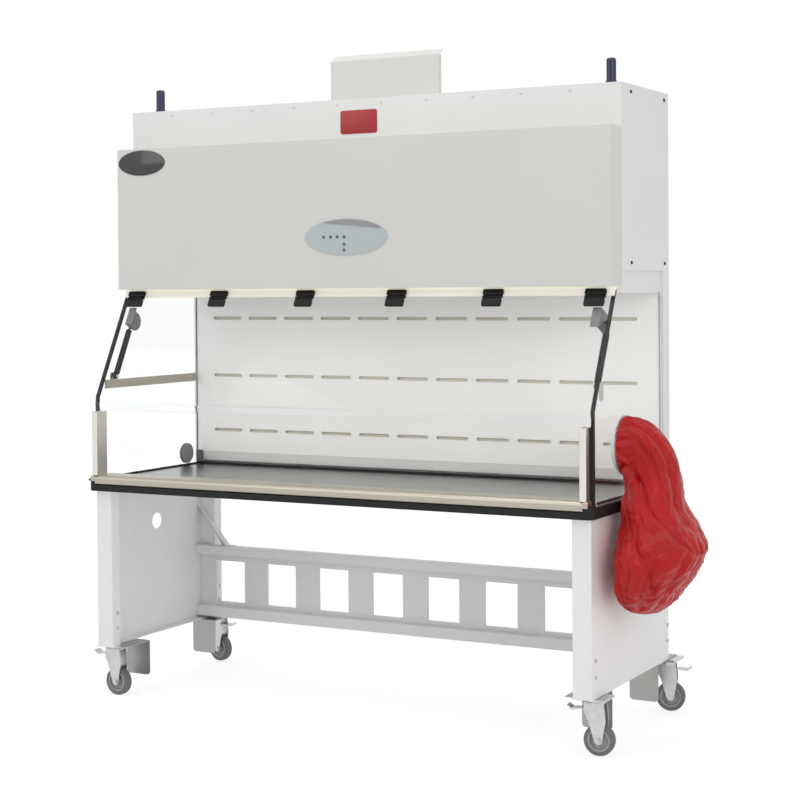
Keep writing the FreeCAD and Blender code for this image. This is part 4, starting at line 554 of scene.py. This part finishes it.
def oval_plate(name, centre, length, height, thickness, edge):
    """An oval plate that faces the front, with a soft front edge."""
    plate = add_drum(name, centre, (0, -1, 0), height / 2, thickness, vertices=72, length=length / height)
    bevel_edges(plate, on_front(centre.y - thickness), edge, 3)
    return plate


def slot_backing():
    """Pale strips just behind the rear wall's slots."""
    for number, z in enumerate((940, 1155, 1380)):
        strip = add_block("slot_backing_%d" % number, at(-900, 650.0, z - 14), at(900, 651.5, z + 14))
        bevel_edges(strip, lambda edge: True, 0.3 * MM, 1)
        dress(strip, "cabinet", SLOT_SHADE)


def bare_plates():
    """The plates on the case and the fascia, all left blank."""
    notice = rounded_plate("notice_plate", at(-74, 252.4, 2037), at(74, 254, 2120), 9 * MM, 0.5 * MM)
    dress(notice, "cabinet", NOTICE_RED)
    badge = oval_plate("badge_blank", at(-869, 157, 1962), 209 * MM, 93 * MM, 2.5 * MM, 1.0 * MM)
    dress(badge, "cabinet", BADGE_BLACK)


def overlay_details():
    """Six domed keys on the oval overlay, and the darker band along its upper edge."""
    face = 154.2
    row = [(x, 1673) for x in (-88, -60, -34)] + [(-6, z) for z in (1672, 1647, 1627)]
    key = add_drum("overlay_keys", Vector((0, 0, 0)), (0, -1, 0), 5.5 * MM, 1.2 * MM, vertices=32)
    bevel_edges(key, lambda edge: all(v.co.y < -1.1 * MM for v in edge.verts), 0.8 * MM, 3)
    repeat(key, [at(x, face, z) for x, z in row])
    dress(key, "cabinet", TRIM_GREY)
    band = oval_plate("overlay_band", at(0, face, 1672), 322 * MM, 122 * MM, 0.4 * MM, 0.1 * MM)
    select_parts(band, "FACE", lambda part: True)
    bpy.ops.mesh.bisect(plane_co=at(-93, face, 1722), plane_no=(0.094, 0.0, 0.9955), use_fill=True,
                        clear_inner=True)
    bpy.ops.object.mode_set(mode="OBJECT")
    dress(band, "cabinet", OVERLAY_SHADE)


def armrest_ends():
    """The armrest's steel end caps below the corner posts, and the black blocks that close the corners."""
    for side, label in ((-1, "left"), (1, "right")):
        for name, near, far, front, back, top, edge, material, slot in (
                ("armrest_cap_", 954.3, 972.0, -31.8, 8.0, 820.6, 5.0, BRUSHED_X, "stainless"),
                ("corner_block_", 972.5, 984.5, -27.5, 8.0, 807.0, 2.0, BLACK_RUBBER, "black_rubber")):
            low, high = sorted((side * near, side * far))
            cap = add_block(name + label, at(low, front, 799.4), at(high, back, top))
            upper = at(0, 0, top - 0.1).z
            bevel_edges(cap, lambda e: all(v.co.z > upper for v in e.verts), edge * MM, 4)
            dress(cap, "cabinet", material)


def strut_sleeves():
    """The gas struts' fat black bodies, and the silver screw at each pivot."""
    for side, label in ((-1, "left"), (1, "right")):
        foot = joint_place("strut_tilt_" + label)
        eye_radius = 8.5 * MM
        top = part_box("strut_rod_" + label)[1]
        along = Vector((0.0, top.y - eye_radius - foot.y, top.z - eye_radius - foot.z)).normalized()
        start = Vector((HOME.x + side * 953 * MM, foot.y, foot.z)) + along * 12 * MM
        sleeve = add_drum("strut_sleeve_" + label, start, along, 10.9 * MM, 176 * MM, vertices=40)
        bevel_edges(sleeve, is_rim, 2.0 * MM, 3)
        dress(sleeve, "strut_tube_" + label, BLACK_METAL)
        pivot = Vector((HOME.x + side * 946 * MM, foot.y, foot.z))
        screw_row("strut_foot_screw_" + label, [pivot], (-side, 0, 0), 6.0 * MM, ZINC,
                  "strut_tube_" + label)


def thinned_copy(node, material, body):
    """A clear CAD node as a copy whose faces lie just inside its own, clear of what touches it."""
    copy = bpy.data.objects.new("clear_" + node, NODES[node].data.copy())
    bpy.context.collection.objects.link(copy)
    select_parts(copy, "FACE", lambda face: True)
    bpy.ops.mesh.remove_doubles(threshold=0.01 * MM)
    bpy.ops.mesh.dissolve_limited(angle_limit=math.radians(0.5))
    bpy.ops.object.mode_set(mode="OBJECT")
    shrink = copy.modifiers.new("Clearance", "DISPLACE")
    shrink.strength = -0.25 * MM
    shrink.mid_level = 0.0
    bpy.ops.object.modifier_apply(modifier=shrink.name)
    dress(copy, body, material, angle=30.0)
    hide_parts(node)


def cover_disc():
    """The blank port's clear disc, flat on the left wall, with a soft rim."""
    disc = add_drum("cover_disc", at(-975.4, 255, 963), (-1, 0, 0), 98 * MM, 3.4 * MM, vertices=96)
    outer = HOME.x - 978.7 * MM
    bevel_edges(disc, lambda edge: all(v.co.x < outer for v in edge.verts), 1.2 * MM, 3)
    dress(disc, "cabinet", CLEAR_WALL)
    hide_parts("port_cover")


def chamber_trim():
    """The work surface's dark seals, the rear wall's corner beads and end cap, and the ceiling's line."""
    rows = (
        ("rear_seal", at(-966, 634.5, 803), at(966, 642, 811), BLACK_RUBBER, 2.0),
        ("left_seal", at(-968.5, 64, 803), at(-962, 634, 809), BLACK_RUBBER, 1.5),
        ("right_seal", at(962, 64, 803), at(968.5, 634, 809), BLACK_RUBBER, 1.5),
        ("left_corner_bead", at(-968.7, 638.5, 811), at(-965.2, 641.9, 1471), TRIM_GREY, 0.8),
        ("right_corner_bead", at(965.2, 638.5, 811), at(968.7, 641.9, 1471), EDGE_GREY, 0.8),
        ("left_end_cap", at(-965, 640.2, 811), at(-942, 641.9, 857), TRIM_GREY, 0.5),
        ("ceiling_line", at(-960, 262, 1469.6), at(960, 266, 1471.9), EDGE_GREY, 0.5),
    )
    for name, low, high, material, edge in rows:
        strip = add_block(name, low, high)
        bevel_edges(strip, lambda e: True, edge * MM, 2)
        dress(strip, "cabinet", material)


def finish_cad_nodes():
    """Give every CAD node its finish."""
    for name, node in NODES.items():
        material = FINISHES.get(name) or CASTER_FINISHES[name.split("_")[0]]
        node.data.materials.clear()
        node.data.materials.append(material)


# Camera, room and lights

# The photograph's camera, fitted to it: place in mm, then turn, dip and roll in degrees
CAMERA_PLACE = (3066.44, -5152.42, 1497.05)
CAMERA_TURN, CAMERA_DIP, CAMERA_ROLL = 28.273, 1.0, -0.419
CAMERA_LENS = 79.48
CAMERA_SHIFT = -0.1027


def make_camera():
    """The photograph's camera."""
    turn, dip, roll = (math.radians(angle) for angle in (CAMERA_TURN, CAMERA_DIP, CAMERA_ROLL))
    ahead = Vector((-math.sin(turn) * math.cos(dip), math.cos(turn) * math.cos(dip), -math.sin(dip)))
    level_right = Vector((math.cos(turn), math.sin(turn), 0.0))
    level_up = level_right.cross(ahead)
    right = level_right * math.cos(roll) + level_up * math.sin(roll)
    up = level_up * math.cos(roll) - level_right * math.sin(roll)
    axes = Matrix((right, up, -ahead)).transposed()
    data = bpy.data.cameras.new("Camera")
    data.sensor_width = 36.0
    data.lens = CAMERA_LENS
    data.shift_y = CAMERA_SHIFT
    data.clip_end = 60.0
    camera = bpy.data.objects.new("Camera", data)
    bpy.context.collection.objects.link(camera)
    camera.matrix_world = Matrix.Translation(at(*CAMERA_PLACE)) @ axes.to_4x4()
    bpy.context.scene.camera = camera


def seen_ray(tree):
    """1 for a ray that is seen, straight, in a reflection or through clear plastic; 0 for light."""
    rays = add_node(tree, "ShaderNodeLightPath", -4, 0)
    direct = add_node(tree, "ShaderNodeMath", -3, 0, "MAXIMUM")
    seen = add_node(tree, "ShaderNodeMath", -2, 0, "MAXIMUM")
    tree.links.new(rays.outputs["Is Camera Ray"], direct.inputs[0])
    tree.links.new(rays.outputs["Is Glossy Ray"], direct.inputs[1])
    tree.links.new(direct.outputs["Value"], seen.inputs[0])
    tree.links.new(rays.outputs["Is Transmission Ray"], seen.inputs[1])
    return seen


def pale_to_camera(name, colour):
    """A pale floor that keeps shadows, and is nearly white where it is seen."""
    material, tree, shader = new_material(name, Roughness=0.9, Emission_Color=(1.0, 1.0, 1.0, 1.0))
    seen = seen_ray(tree)
    tone = add_node(tree, "ShaderNodeMix", -1, 0)
    tone.data_type = "RGBA"
    tone.inputs["A"].default_value = (*colour, 1.0)
    tone.inputs["B"].default_value = (0.34, 0.34, 0.34, 1.0)
    glow = add_node(tree, "ShaderNodeMath", -1, 2, "MULTIPLY", [(1, 0.76)])
    tree.links.new(seen.outputs["Value"], tone.inputs["Factor"])
    tree.links.new(seen.outputs["Value"], glow.inputs[0])
    tree.links.new(tone.outputs["Result"], shader.inputs["Base Color"])
    tree.links.new(glow.outputs["Value"], shader.inputs["Emission Strength"])
    return material


def make_room():
    """A pale floor and a white world."""
    bpy.ops.object.select_all(action="DESELECT")
    bpy.ops.mesh.primitive_plane_add(size=60.0, location=(0, 0, -0.0005))
    floor = bpy.context.active_object
    floor.name = "Floor"
    floor.data.materials.append(pale_to_camera("Pale floor", (0.93, 0.93, 0.93)))
    world = bpy.data.worlds.new("Studio")
    bpy.context.scene.world = world
    world.use_nodes = True
    tree = world.node_tree
    light = tree.nodes["Background"]
    light.inputs["Color"].default_value = (1.0, 1.0, 1.0, 1.0)
    light.inputs["Strength"].default_value = 0.62
    white = add_node(tree, "ShaderNodeBackground", 0, 2, values=[("Color", (1.0, 1.0, 1.0, 1.0))])
    seen = seen_ray(tree)
    mix = add_node(tree, "ShaderNodeMixShader", 1, 0)
    tree.links.new(seen.outputs["Value"], mix.inputs["Fac"])
    tree.links.new(light.outputs["Background"], mix.inputs[1])
    tree.links.new(white.outputs["Background"], mix.inputs[2])
    tree.links.new(mix.outputs["Shader"], tree.nodes["World Output"].inputs["Surface"])


def soft_lamp(name, place, target, size, power):
    """A large square lamp that faces a point."""
    data = bpy.data.lights.new(name, "AREA")
    data.shape = "SQUARE"
    data.size = size
    data.energy = power
    lamp = bpy.data.objects.new(name, data)
    bpy.context.collection.objects.link(lamp)
    lamp.location = place
    lamp.rotation_euler = (Vector(target) - Vector(place)).to_track_quat("-Z", "Y").to_euler()


def make_lights():
    """Soft light from the front left, the front right and above."""
    soft_lamp("Key", (-2.6, -4.6, 3.6), (0, 0, 1.1), 3.0, 34.0)
    soft_lamp("Fill", (4.8, -3.2, 2.6), (0, 0, 1.1), 3.0, 48.0)
    soft_lamp("Top", (0.0, -0.8, 5.2), (0, 0, 1.0), 3.5, 60.0)


make_camera()
make_room()
make_lights()
finish_cad_nodes()
film_bag()
case_screws()
port_screws()
hinge_caps()
strut_sleeves()
thinned_copy("side_wall_left", CLEAR_WALL, "cabinet")
thinned_copy("side_wall_right", CLEAR_WALL, "cabinet")
thinned_copy("window_pane", CLEAR_WINDOW, "window")
thinned_copy("window_lip", CLEAR_WINDOW, "window")
cover_disc()
chamber_trim()
slot_backing()
bare_plates()
overlay_details()
armrest_ends()
bpy.context.scene.view_settings.view_transform = "Standard"
